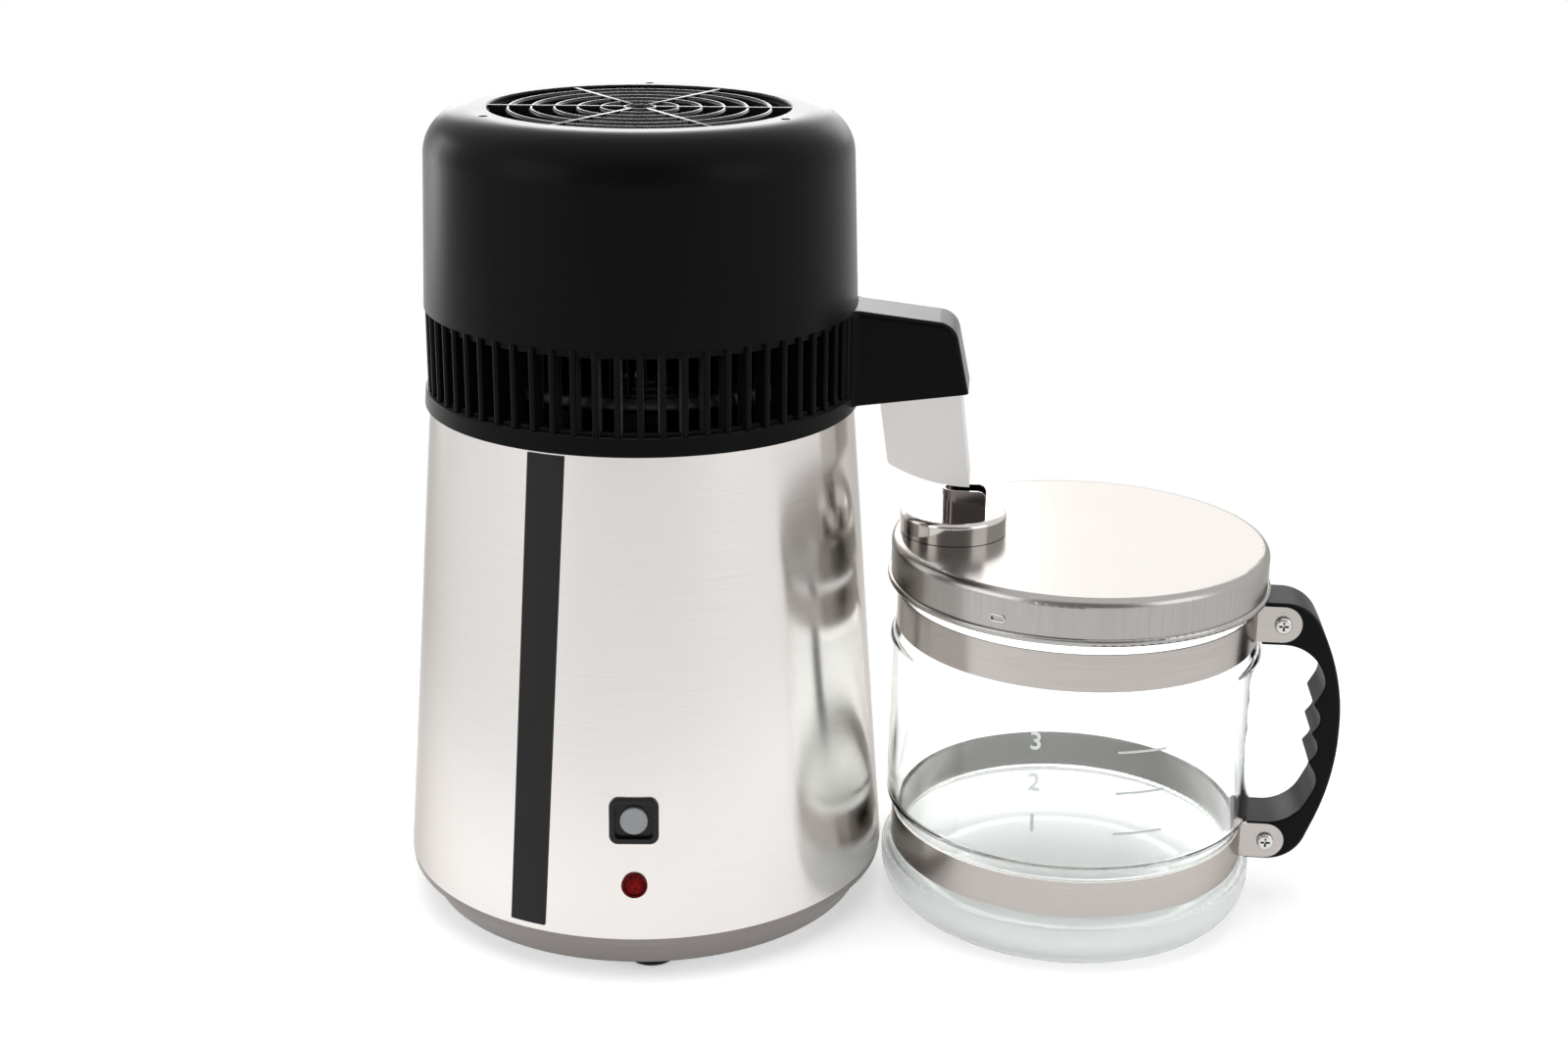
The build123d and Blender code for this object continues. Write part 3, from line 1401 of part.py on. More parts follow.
# Jug bands: steel straps in the grooves, their ends bent out as ears for the handle
screw_x = handle_end + screw_run
ear_in = handle_half_width - ear_sheet
ear_start = sqrt(band_outer_r**2 - ear_in**2)
ear_length = screw_x - ear_start + band_sheet / 2
for band_name, band_z in (("upper_band", band_up_z), ("lower_band", band_low_z)):
    with BuildPart() as jug_band:
        with BuildSketch(level(jug_x, band_z)):
            Circle(band_outer_r)
            Circle(band_r, mode=Mode.SUBTRACT)
            Rectangle(2 * band_r, 2 * ear_in, align=(Align.MIN, Align.CENTER), mode=Mode.SUBTRACT)
        extrude(amount=band_height)
        for side in (1, -1):
            with BuildSketch(jug_section.offset(side * ear_in)):
                with Locations((screw_x, band_z + band_height / 2)):
                    Rectangle(ear_length, band_height, align=(Align.MAX, Align.CENTER))
                    Circle(band_height / 2)
                    Circle(screw_r + seat_gap, mode=Mode.SUBTRACT)
            extrude(amount=side * ear_sheet)
    write(jug_band, band_name)

# Jug handle: one moulding with a bowed back and finger grooves on the inside
band_span = band_up_z - band_low_z
handle_top_z = band_up_z + band_height + handle_top_rise
handle_bottom_z = band_low_z - handle_low_drop
handle_high_z = band_low_z + band_span * handle_high_share
handle_low_z = band_low_z + band_span * handle_low_share
handle_top_bend_r = band_span * handle_top_bend_share
handle_high_bend_r = band_span * handle_high_bend_share
handle_low_bend_r = band_span * handle_low_bend_share
handle_bottom_bend_r = band_span * handle_bottom_bend_share
grip_bend_r = band_span * grip_bend_share
grip_reach = handle_end + grip_depth
grip_top_z = band_up_z - grip_top_drop
grip_bottom_z = band_low_z + band_height + grip_low_rise
grip_low_z = band_low_z + band_span * grip_low_share
grip_high_z = band_low_z + band_span * grip_high_share
grip_groove_bend_r = band_span * grip_groove_bend_share
finger_pitch = band_span * finger_pitch_share
finger_depth = finger_pitch * finger_depth_share
finger_groove_r = finger_pitch * finger_groove_share
finger_crest_r = finger_pitch * finger_crest_share
finger_corners = []
for finger in range(finger_count):
    crest_z = band_low_z + band_span * crest_top_share - finger * finger_pitch
    finger_corners.append((grip_reach - finger_depth, crest_z, finger_crest_r))
    finger_corners.append((grip_reach, crest_z - finger_pitch / 2, finger_groove_r))
finger_corners[-1] = (grip_reach, grip_low_z, grip_groove_bend_r)
screw_heights = [band_z + band_height / 2 for band_z in (band_up_z, band_low_z)]
with BuildPart() as jug_handle:
    with BuildSketch(jug_section):
        with BuildLine():
            rounded_outline(
                (handle_end, handle_top_z),
                (handle_end + handle_top_run, handle_top_z, handle_top_bend_r),
                (handle_reach, handle_high_z, handle_high_bend_r),
                (handle_reach, handle_low_z, handle_low_bend_r),
                (handle_end + handle_bottom_run, handle_bottom_z, handle_bottom_bend_r),
                (handle_end, handle_bottom_z),
                (handle_end, grip_bottom_z),
                (handle_end + grip_bottom_run, grip_bottom_z, grip_bend_r),
                *reversed(finger_corners),
                (grip_reach, grip_high_z, grip_groove_bend_r),
                (handle_end + grip_top_run, grip_top_z, grip_bend_r),
                (handle_end, grip_top_z),
            )
        make_face()
    extrude(amount=handle_half_width, both=True)
    handle_sides = jug_handle.faces().sort_by(Axis.Y)
    back_edges = [handle_sides[end].edges().sort_by(Axis.X)[-1] for end in (0, -1)]
    fillet(back_edges, handle_edge_r)
    handle_sides = jug_handle.faces().filter_by(Axis.Y).sort_by(Axis.Y)
    crest_place = (jug_x + grip_reach, 0, grip_low_z)
    grip_edges = [handle_sides[end].edges().sort_by_distance(crest_place)[0] for end in (0, -1)]
    fillet(grip_edges, grip_edge_r)
    for side in (1, -1):
        with BuildSketch(jug_section.offset(side * ear_in)):
            for screw_z in screw_heights:
                with Locations((screw_x, screw_z)):
                    Rectangle(screw_x, band_height + 2 * seat_gap, align=(Align.MAX, Align.CENTER))
                    Circle(band_height / 2 + seat_gap)
        extrude(amount=side * overrun, mode=Mode.SUBTRACT)
    with BuildSketch(jug_section):
        with Locations(*[(screw_x, screw_z) for screw_z in screw_heights]):
            Circle(screw_r + seat_gap)
    extrude(amount=handle_half_width, both=True, mode=Mode.SUBTRACT)
write(jug_handle, "jug_handle")

# Handle screws: round heads with a cross recess, shanks through to the nuts
head_face = jug_section.offset(handle_half_width)
with BuildPart() as handle_screws:
    with BuildSketch(head_face):
        with Locations(*[(screw_x, screw_z) for screw_z in screw_heights]):
            Circle(screw_head_r)
    extrude(amount=screw_head_height)
    fillet(handle_screws.edges().group_by(Axis.Y)[0], screw_head_round)
    with BuildSketch(head_face):
        with Locations(*[(screw_x, screw_z) for screw_z in screw_heights]):
            Circle(screw_r)
    extrude(amount=-(2 * handle_half_width + nut_height))
    with BuildSketch(head_face.offset(screw_head_height)):
        with Locations(*[(screw_x, screw_z) for screw_z in screw_heights]):
            Rectangle(cross_length, cross_width)
            Rectangle(cross_width, cross_length)
    extrude(amount=-cross_depth, mode=Mode.SUBTRACT)
write(handle_screws, "handle_screws")

# Handle nuts on the far side
with BuildPart() as handle_nuts:
    with BuildSketch(jug_section.offset(-handle_half_width)):
        with Locations(*[(screw_x, screw_z) for screw_z in screw_heights]):
            RegularPolygon(nut_r, 6)
            Circle(screw_r + seat_gap, mode=Mode.SUBTRACT)
    extrude(amount=-nut_height)
write(handle_nuts, "handle_nuts")

# Jug lid: pressed lid with a rolled edge, pressed-in lugs and the fill hole
lid_r = groove_r + lid_gap
lid_top_z = glass_top_z + lid_rise
lug_z = ridge_z - lug_drop
cap_offset = jug_spacing - nozzle_tip_x + cap_setback
lid_low_z = lid_top_z - lid_skirt
lid_under_z = lid_top_z - lid_sheet
lid_inner_r = lid_r - lid_sheet
with BuildPart() as jug_lid:
    with BuildSketch(jug_section):
        with BuildLine():
            rounded_outline(
                (0, lid_top_z),
                (lid_r, lid_top_z, lid_edge_r),
                (lid_r, lid_low_z + lip_roll_height),
                (lid_r + lip_roll_proud, lid_low_z + lip_roll_height, lip_roll_r),
                (lid_r + lip_roll_proud, lid_low_z, lip_roll_r),
                (lid_inner_r, lid_low_z),
                (lid_inner_r, lid_under_z, lid_edge_r - lid_sheet),
                (0, lid_under_z),
            )
        make_face()
    revolve(axis=jug_axis)
    for lug in range(lug_count):
        lug_face = facing(jug_x, lug_azimuth + lug * 360 / lug_count, lug_z, lid_inner_r)
        with BuildSketch(lug_face.offset(lid_sheet / 2)):
            SlotOverall(lug_width, lug_height)
        extrude(amount=-lug_depth)
        with BuildSketch(lug_face.offset(lid_sheet - lug_dent)):
            SlotOverall(lug_width - 2 * lug_dent, lug_height - 2 * lug_dent)
        extrude(amount=overrun, mode=Mode.SUBTRACT)
    with BuildSketch(level(jug_x, lid_under_z)):
        with Locations((-cap_offset, 0)):
            Circle(fill_hole_r)
    extrude(amount=lid_sheet, mode=Mode.SUBTRACT)
write(jug_lid, "jug_lid")

# Lid seal: ring under the lid, over the glass's rim
seal_mid_r = groove_r - glass_wall / 2
with BuildPart() as lid_seal:
    with BuildSketch(level(jug_x, lid_under_z)):
        Circle(seal_mid_r + lid_seal_width / 2)
        Circle(seal_mid_r - lid_seal_width / 2, mode=Mode.SUBTRACT)
    extrude(amount=-(lid_under_z - glass_top_z - contact_gap))
write(lid_seal, "lid_seal")

# Lid cap: pressed cap with a plug in the fill hole
cap_x = jug_x - cap_offset
cap_axis = Axis((cap_x, 0, 0), (0, 0, 1))
cap_top_z = lid_top_z + cap_height
cap_foot_z = lid_top_z + cap_rest_gap
plug_r = fill_hole_r - contact_gap
with BuildPart() as lid_cap:
    with BuildSketch(upright(cap_x)):
        with BuildLine():
            rounded_outline(
                (0, cap_top_z),
                (cap_r, cap_top_z, cap_edge_r),
                (cap_r, cap_foot_z),
                (cap_r - cap_sheet, cap_foot_z),
                (cap_r - cap_sheet, cap_top_z - cap_sheet, cap_edge_r - cap_sheet),
                (plug_r, cap_top_z - cap_sheet),
                (plug_r, lid_under_z - cap_plug_depth),
                (plug_r - cap_sheet, lid_under_z - cap_plug_depth),
                (plug_r - cap_sheet, cap_top_z - cap_sheet),
                (0, cap_top_z - cap_sheet),
            )
        make_face()
    revolve(axis=cap_axis)
write(lid_cap, "lid_cap")

# Cap tab: strip bent into a U, standing on the cap with its open end outwards
bend_x = tab_half_width - tab_back
with BuildPart() as cap_tab:
    with BuildSketch(level(cap_x, cap_top_z)):
        with Locations((bend_x, 0)):
            Circle(tab_half_width)
            Rectangle(tab_length, 2 * tab_half_width, align=(Align.MIN, Align.CENTER))
            Circle(tab_half_width - tab_sheet, mode=Mode.SUBTRACT)
            Rectangle(
                tab_length,
                2 * (tab_half_width - tab_sheet),
                align=(Align.MIN, Align.CENTER),
                mode=Mode.SUBTRACT,
            )
    extrude(amount=tab_height)
    with BuildSketch(upright(cap_x)):
        with BuildLine():
            rounded_outline(
                (-tab_back, cap_top_z),
                (tab_length - tab_back, cap_top_z),
                (tab_length - tab_back, cap_top_z + tab_height, tab_corner_r),
                (-tab_back, cap_top_z + tab_height),
            )
        make_face()
    extrude(amount=tab_half_width, both=True, mode=Mode.INTERSECT)
write(cap_tab, "cap_tab")
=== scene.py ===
from math import cos, pi, radians, sin

import bmesh
import bpy
from mathutils import Matrix, Vector


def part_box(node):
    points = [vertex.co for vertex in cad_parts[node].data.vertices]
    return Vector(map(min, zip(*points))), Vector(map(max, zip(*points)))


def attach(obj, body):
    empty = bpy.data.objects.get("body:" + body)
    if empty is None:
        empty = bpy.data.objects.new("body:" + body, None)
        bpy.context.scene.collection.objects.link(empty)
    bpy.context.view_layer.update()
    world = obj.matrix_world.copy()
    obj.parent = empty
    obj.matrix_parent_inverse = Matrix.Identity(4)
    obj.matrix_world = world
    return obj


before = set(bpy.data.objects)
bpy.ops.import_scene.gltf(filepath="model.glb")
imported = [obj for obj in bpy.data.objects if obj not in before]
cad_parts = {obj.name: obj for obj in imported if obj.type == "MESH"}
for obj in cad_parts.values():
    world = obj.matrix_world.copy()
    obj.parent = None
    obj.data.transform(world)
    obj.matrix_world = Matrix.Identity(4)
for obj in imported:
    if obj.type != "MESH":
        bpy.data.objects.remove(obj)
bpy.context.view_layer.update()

scene = bpy.context.scene
scene.view_settings.view_transform = "Standard"

# Camera: stands about a metre in front of the set and a little above it, with a
# slightly long lens, turned and tilted as in the photograph.
camera_place = Vector((0.0524, -0.9863, 0.5171))
camera_tilt = radians(71.35)
camera_swing = radians(5.39)
camera_roll = radians(0.57)
sensor_width_mm = 36.0
focal_length_mm = 51.03
camera_lens = bpy.data.cameras.new("photo_view")
camera_lens.sensor_width = sensor_width_mm
camera_lens.lens = focal_length_mm
camera = bpy.data.objects.new("photo_view", camera_lens)
camera.matrix_world = (
    Matrix.Translation(camera_place)
    @ Matrix.Rotation(camera_swing, 4, "Z")
    @ Matrix.Rotation(camera_tilt, 4, "X")
    @ Matrix.Rotation(camera_roll, 4, "Z")
)
scene.collection.objects.link(camera)
scene.camera = camera


# Studio floor: a wide sheet of white paper. Near the object it is matt and keeps the soft
# shadow. Further out the camera, metal and glass see it burn out to plain white.
def linear(hex_colour):
    """Linear colour of an sRGB hex value."""
    channels = [int(hex_colour[digit:digit + 2], 16) / 255 for digit in (1, 3, 5)]
    curved = [c / 12.92 if c <= 0.04045 else ((c + 0.055) / 1.055) ** 2.4 for c in channels]
    return (*curved, 1.0)


def add_node(tree, kind, sockets=None, **settings):
    """Adds a node, sets its settings, and sets or links its sockets."""
    node = tree.nodes.new(kind)
    for name, value in settings.items():
        setattr(node, name, value)
    for name, value in (sockets or {}).items():
        if isinstance(value, bpy.types.NodeSocket):
            tree.links.new(value, node.inputs[name])
        else:
            node.inputs[name].default_value = value
    return node


def new_material(name):
    """Empty node material."""
    material = bpy.data.materials.new(name)
    material.use_nodes = True
    material.node_tree.nodes.clear()
    return material


def to_piece(form, name, material, sharp_angle=radians(32)):
    """Turns a finished bmesh into a smooth-shaded object with one material."""
    mesh = bpy.data.meshes.new(name)
    form.to_mesh(mesh)
    form.free()
    mesh.polygons.foreach_set("use_smooth", [True] * len(mesh.polygons))
    mesh.set_sharp_from_angle(angle=sharp_angle)
    mesh.materials.append(material)
    piece = bpy.data.objects.new(name, mesh)
    scene.collection.objects.link(piece)
    return piece


floor_half = 6.0
shadow_reach = 0.26
white_reach = 0.62
near_glow = 0.42
white_paper = new_material("white_paper")
tree = white_paper.node_tree
path = add_node(tree, "ShaderNodeLightPath")
seen = add_node(
    tree, "ShaderNodeMath",
    {0: path.outputs["Is Camera Ray"], 1: path.outputs["Is Glossy Ray"]}, operation="MAXIMUM",
)
shown = add_node(
    tree, "ShaderNodeMath",
    {0: seen.outputs["Value"], 1: path.outputs["Is Transmission Ray"]}, operation="MAXIMUM",
)
place = add_node(tree, "ShaderNodeTexCoord")
distance = add_node(
    tree, "ShaderNodeVectorMath", {0: place.outputs["Object"]}, operation="LENGTH",
)
burnt = add_node(
    tree, "ShaderNodeMapRange",
    {"Value": distance.outputs["Value"], "From Min": shadow_reach, "From Max": white_reach},
    interpolation_type="SMOOTHSTEP",
)
glow = add_node(
    tree, "ShaderNodeMath", {0: shown.outputs["Value"], 1: near_glow}, operation="MULTIPLY",
)
white_share = add_node(
    tree, "ShaderNodeMath",
    {0: shown.outputs["Value"], 1: burnt.outputs["Result"]}, operation="MULTIPLY",
)
paper = add_node(tree, "ShaderNodeBsdfDiffuse", {"Color": linear("#F4F4F4")})
lift = add_node(
    tree, "ShaderNodeEmission", {"Color": linear("#FFFFFF"), "Strength": glow.outputs["Value"]},
)
near = add_node(
    tree, "ShaderNodeAddShader", {0: paper.outputs["BSDF"], 1: lift.outputs["Emission"]},
)
far = add_node(tree, "ShaderNodeEmission", {"Color": linear("#FFFFFF"), "Strength": 1.0})
sheet = add_node(
    tree, "ShaderNodeMixShader",
    {"Fac": white_share.outputs["Value"], 1: near.outputs["Shader"], 2: far.outputs["Emission"]},
)
add_node(tree, "ShaderNodeOutputMaterial", {"Surface": sheet.outputs["Shader"]})
form = bmesh.new()
bmesh.ops.create_grid(form, x_segments=1, y_segments=1, size=floor_half)
floor = to_piece(form, "studio_floor", white_paper)

# Studio light: softboxes overhead and at each side in front. A strip and a panel behind the
# set and a strip at the left draw bright rims and tops. The overhead box stays out of
# reflections, so the cover's shoulder keeps its black.
overhead_place = Vector((-0.1, -0.2, 1.7))
overhead_aim = Vector((0, 0, 0.1))
overhead_side = 1.6
overhead_power = 13.0
left_place = Vector((-1.5, -1.2, 0.9))
left_aim = Vector((-0.1, 0, 0.2))
left_side = 1.3
left_power = 6.0
right_place = Vector((1.5, -0.8, 0.9))
right_aim = Vector((0.05, 0, 0.15))
right_side = 1.1
right_power = 4.0
strip_place = Vector((-0.4, 1.7, 0.66))
strip_aim = Vector((-0.1, 0, 0.35))
strip_width = 1.0
strip_height = 0.6
strip_power = 9.0
panel_place = Vector((0.45, 1.7, 0.78))
panel_aim = Vector((0.1, 0, 0.15))
panel_side = 0.7
panel_power = 3.1
rim_place = Vector((-1.5, 0.9, 0.45))
rim_aim = Vector((-0.1, 0, 0.25))
rim_light_width = 0.5
rim_light_height = 0.9
rim_light_power = 5.0
unmirrored = "overhead_softbox"
softboxes = (
    (unmirrored, overhead_place, overhead_aim, overhead_side, overhead_side, overhead_power),
    ("left_softbox", left_place, left_aim, left_side, left_side, left_power),
    ("right_softbox", right_place, right_aim, right_side, right_side, right_power),
    ("back_strip", strip_place, strip_aim, strip_width, strip_height, strip_power),
    ("jug_panel", panel_place, panel_aim, panel_side, panel_side, panel_power),
    ("left_rim_strip", rim_place, rim_aim, rim_light_width, rim_light_height, rim_light_power),
)
for lamp_name, lamp_place, lamp_aim, lamp_width, lamp_height, lamp_power in softboxes:
    light = bpy.data.lights.new(lamp_name, "AREA")
    light.shape = "RECTANGLE"
    light.size = lamp_width
    light.size_y = lamp_height
    light.energy = lamp_power
    lamp = bpy.data.objects.new(lamp_name, light)
    lamp.location = lamp_place
    lamp.rotation_euler = (lamp_aim - lamp_place).to_track_quat("-Z", "Y").to_euler()
    lamp.visible_glossy = lamp_name != unmirrored
    scene.collection.objects.link(lamp)

# White room: the walls are white to the camera and through glass, and give a soft fill light.
# In reflections they are dark behind the camera and grey at the left, so black plastic stays
# deep in front and steel keeps its edge.
room_light = 0.4
dark_front = 0.3
front_way = Vector((0.05, -0.93, 0.36)).normalized()
front_edge = 0.66
front_core = 0.94
grey_side = 0.45
side_way = Vector((-0.85, 0.5, 0.05)).normalized()
side_edge = 0.75
side_core = 0.98
world = bpy.data.worlds.new("white_room")
scene.world = world
world.use_nodes = True
tree = world.node_tree
tree.nodes.clear()
path = add_node(tree, "ShaderNodeLightPath")
way = add_node(tree, "ShaderNodeTexCoord")
facing = add_node(
    tree, "ShaderNodeVectorMath", {0: way.outputs["Generated"], 1: front_way}, operation="DOT_PRODUCT",
)
darkened = add_node(
    tree, "ShaderNodeMapRange",
    {
        "Value": facing.outputs["Value"], "From Min": front_edge, "From Max": front_core,
        "To Min": 1.0, "To Max": dark_front,
    },
    interpolation_type="SMOOTHSTEP",
)
leaning = add_node(
    tree, "ShaderNodeVectorMath", {0: way.outputs["Generated"], 1: side_way}, operation="DOT_PRODUCT",
)
greyed = add_node(
    tree, "ShaderNodeMapRange",
    {
        "Value": leaning.outputs["Value"], "From Min": side_edge, "From Max": side_core,
        "To Min": 1.0, "To Max": grey_side,
    },
    interpolation_type="SMOOTHSTEP",
)
walls = add_node(
    tree, "ShaderNodeMath",
    {0: darkened.outputs["Result"], 1: greyed.outputs["Result"]}, operation="MULTIPLY",
)
bounced = add_node(
    tree, "ShaderNodeMix",
    {"Factor": path.outputs["Is Glossy Ray"], "A": room_light, "B": walls.outputs["Value"]},
)
through = add_node(
    tree, "ShaderNodeMath", {0: path.outputs["Transmission Depth"], 1: 0.5}, operation="GREATER_THAN",
)
clear = add_node(
    tree, "ShaderNodeMath",
    {0: path.outputs["Is Camera Ray"], 1: through.outputs["Value"]}, operation="MAXIMUM",
)
strength = add_node(
    tree, "ShaderNodeMix",
    {"Factor": clear.outputs["Value"], "A": bounced.outputs["Result"], "B": 1.0},
)
room = add_node(
    tree, "ShaderNodeBackground",
    {"Color": linear("#FFFFFF"), "Strength": strength.outputs["Result"]},
)
add_node(tree, "ShaderNodeOutputWorld", {"Surface": room.outputs["Background"]})


# Base ring: warm grey ABS ring under the casing, moulded with a spark-eroded texture that
# takes off the shine. It carries the casing on its lip and is screwed to the bottom plate.
def dress(material, *nodes):
    """Gives CAD nodes a material."""
    for node in nodes:
        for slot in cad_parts[node].material_slots:
            slot.material = material


def moulded_plastic(name, dark, pale, roughness, shine, grain_size, grain_depth, sheen=0):
    """Moulded piece: uneven colour and gloss, a fine mould texture and, if asked, a sheen."""
    material = new_material(name)
    tree = material.node_tree
    place = add_node(tree, "ShaderNodeTexCoord")
    cloud_size = 0.03
    cloud = add_node(
        tree, "ShaderNodeTexNoise",
        {"Vector": place.outputs["Object"], "Scale": 1 / cloud_size, "Detail": 3.0},
    )
    colour = add_node(
        tree, "ShaderNodeMix",
        {"Factor": cloud.outputs["Fac"], 6: linear(dark), 7: linear(pale)}, data_type="RGBA",
    )
    smooth_share = 0.9
    rough_share = 1.1
    gloss = add_node(
        tree, "ShaderNodeMapRange",
        {
            "Value": cloud.outputs["Fac"],
            "To Min": roughness * smooth_share, "To Max": roughness * rough_share,
        },
    )
    grain = add_node(
        tree, "ShaderNodeTexNoise",
        {"Vector": place.outputs["Object"], "Scale": 1 / grain_size, "Detail": 2.0},
    )
    bump = add_node(
        tree, "ShaderNodeBump",
        {"Height": grain.outputs["Fac"], "Strength": 0.5, "Distance": grain_depth},
    )
    shader = add_node(
        tree, "ShaderNodeBsdfPrincipled",
        {
            "Base Color": colour.outputs[2],
            "Roughness": gloss.outputs["Result"],
            "Specular IOR Level": shine,
            "Sheen Weight": sheen,
            "Sheen Roughness": 0.3,
            "Normal": bump.outputs["Normal"],
        },
    )
    add_node(tree, "ShaderNodeOutputMaterial", {"Surface": shader.outputs["BSDF"]})
    return material


# The real grain is about a tenth of a millimetre and too fine to show, so it is drawn coarser
# here and on the other moulded pieces.
ring_grain = 0.0006
ring_relief = 0.00004
grey_moulding = moulded_plastic(
    "grey_moulding", "#948D89", "#9F9894", roughness=0.42, shine=0.4,
    grain_size=ring_grain, grain_depth=ring_relief,
)
dress(grey_moulding, "base_ring")


# Bottom plate and its screws: zinc-plated steel sheet with a faint crystal pattern, and
# bright plated screws. They close the base from below.
def plain_metal(name, dark, pale, roughness, patch_size, recess_shade_reach=0):
    """Bare or plated metal with soft patches of tone and gloss, and painted shade in its recesses."""
    material = new_material(name)
    tree = material.node_tree
    place = add_node(tree, "ShaderNodeTexCoord")
    patch = add_node(
        tree, "ShaderNodeTexNoise",
        {"Vector": place.outputs["Object"], "Scale": 1 / patch_size, "Detail": 4.0},
    )
    colour = add_node(
        tree, "ShaderNodeMix",
        {"Factor": patch.outputs["Fac"], 6: linear(dark), 7: linear(pale)}, data_type="RGBA",
    )
    smooth_share = 0.8
    rough_share = 1.2
    gloss = add_node(
        tree, "ShaderNodeMapRange",
        {
            "Value": patch.outputs["Fac"],
            "To Min": roughness * smooth_share, "To Max": roughness * rough_share,
        },
    )
    if recess_shade_reach:
        # Painted shade: the colour goes near-black where ambient occlusion finds the surface closed in.
        open_air = add_node(tree, "ShaderNodeAmbientOcclusion", {"Distance": recess_shade_reach})
        painted_recess_shade = add_node(
            tree, "ShaderNodeMapRange",
            {"Value": open_air.outputs["AO"], "From Min": 0.35, "From Max": 0.75},
        )
        colour = add_node(
            tree, "ShaderNodeMix",
            {"Factor": painted_recess_shade.outputs["Result"], 6: linear("#070707"), 7: colour.outputs[2]},
            data_type="RGBA",
        )
    shader = add_node(
        tree, "ShaderNodeBsdfPrincipled",
        {
            "Base Color": colour.outputs[2],
            "Roughness": gloss.outputs["Result"],
            "Metallic": 1.0,
        },
    )
    add_node(tree, "ShaderNodeOutputMaterial", {"Surface": shader.outputs["BSDF"]})
    return material


zinc_crystal = 0.006
plating_patch = 0.003
zinc_plate = plain_metal(
    "zinc_plate", "#A9ADB0", "#C6C9CA", roughness=0.38, patch_size=zinc_crystal,
)
bright_plate = plain_metal(
    "bright_plate", "#C9C7C4", "#DEDCDA", roughness=0.16, patch_size=plating_patch,
)
dress(zinc_plate, "base_plate")
dress(bright_plate, "base_screws")

# Rubber feet: four black moulded pads, pushed through the bottom plate on their pegs. They
# are matt and a little dusty.
rubber_grain = 0.0009
rubber_relief = 0.00006
foot_rubber = moulded_plastic(
    "foot_rubber", "#141416", "#1E1E20", roughness=0.75, shine=0.3,
    grain_size=rubber_grain, grain_depth=rubber_relief,
)
dress(foot_rubber, "rubber_feet")


# Casing: one sheet of stainless steel rolled to a cone and brushed round its axis, which
# draws highlights out upwards and downwards. Its lower edge stands on the base ring's lip.
def brushed_steel(name, dark, pale, roughness, stroke, stretch):
    """Brushed stainless steel: fine strokes and faint smears change tone, gloss and relief."""
    material = new_material(name)
    tree = material.node_tree
    place = add_node(tree, "ShaderNodeTexCoord")
    along = add_node(tree, "ShaderNodeMapping", {"Vector": place.outputs["Object"], "Scale": stroke})
    strokes = add_node(
        tree, "ShaderNodeTexNoise",
        {"Vector": along.outputs["Vector"], "Scale": 1.0, "Detail": 3.0, "Roughness": 0.6},
    )
    smear_size = 0.05
    smears = add_node(
        tree, "ShaderNodeTexNoise",
        {"Vector": place.outputs["Object"], "Scale": 1 / smear_size, "Detail": 2.0},
    )
    mixed = add_node(
        tree, "ShaderNodeMix",
        {"Factor": 0.35, "A": strokes.outputs["Fac"], "B": smears.outputs["Fac"]},
    )
    colour = add_node(
        tree, "ShaderNodeMix",
        {"Factor": strokes.outputs["Fac"], 6: linear(dark), 7: linear(pale)}, data_type="RGBA",
    )
    smooth_share = 0.75
    rough_share = 1.25
    gloss = add_node(
        tree, "ShaderNodeMapRange",
        {
            "Value": mixed.outputs["Result"],
            "To Min": roughness * smooth_share, "To Max": roughness * rough_share,
        },
    )
    stroke_depth = 0.000006
    bump = add_node(
        tree, "ShaderNodeBump",
        {"Height": strokes.outputs["Fac"], "Strength": 0.4, "Distance": stroke_depth},
    )
    shader = add_node(
        tree, "ShaderNodeBsdfPrincipled",
        {
            "Base Color": colour.outputs[2],
            "Roughness": gloss.outputs["Result"],
            "Metallic": 1.0,
            "Anisotropic": stretch,
            "Anisotropic Rotation": 0.25,
            "Specular Tint": linear("#CBC8C5"),
            "Normal": bump.outputs["Normal"],
        },
    )
    add_node(tree, "ShaderNodeOutputMaterial", {"Surface": shader.outputs["BSDF"]})
    return material


# Real strokes are less than a tenth of a millimetre wide and too fine to show, so they are
# drawn wider.
stroke_length = 0.04
stroke_width = 0.0007
round_strokes = (1 / stroke_length, 1 / stroke_length, 1 / stroke_width)
casing_steel = brushed_steel(
    "casing_steel", "#DCD8D5", "#E5E1DE", roughness=0.18, stroke=round_strokes, stretch=0.7,
)
dress(casing_steel, "outer_casing")

# Trim strip: a narrow film of dark grey plastic, glued up the front of the casing a little
# out of the upright. It is satin, so it hardly mirrors the room.
film_grain = 0.0012
film_relief = 0.00001
strip_film = moulded_plastic(
    "strip_film", "#1C1C1C", "#242423", roughness=0.45, shine=0.2,
    grain_size=film_grain, grain_depth=film_relief,
)
dress(strip_film, "trim_strip")

# Start switch: black ABS bezel with a round pale grey button, snapped into the casing. The
# bezel is glossy from the mould and the button is smooth from handling. The switch's body and
# the lamp's holder behind the sheet are the same black.
bezel_grain = 0.001
bezel_relief = 0.000008
bezel_black = moulded_plastic(
    "bezel_black", "#0C0C0D", "#131314", roughness=0.3, shine=0.3,
    grain_size=bezel_grain, grain_depth=bezel_relief,
)
button_grey = moulded_plastic(
    "button_grey", "#949698", "#A1A3A5", roughness=0.38, shine=0.5,
    grain_size=bezel_grain, grain_depth=bezel_relief,
)
dress(bezel_black, "switch_bezel", "switch_body", "lamp_holder")
dress(button_grey, "start_button")
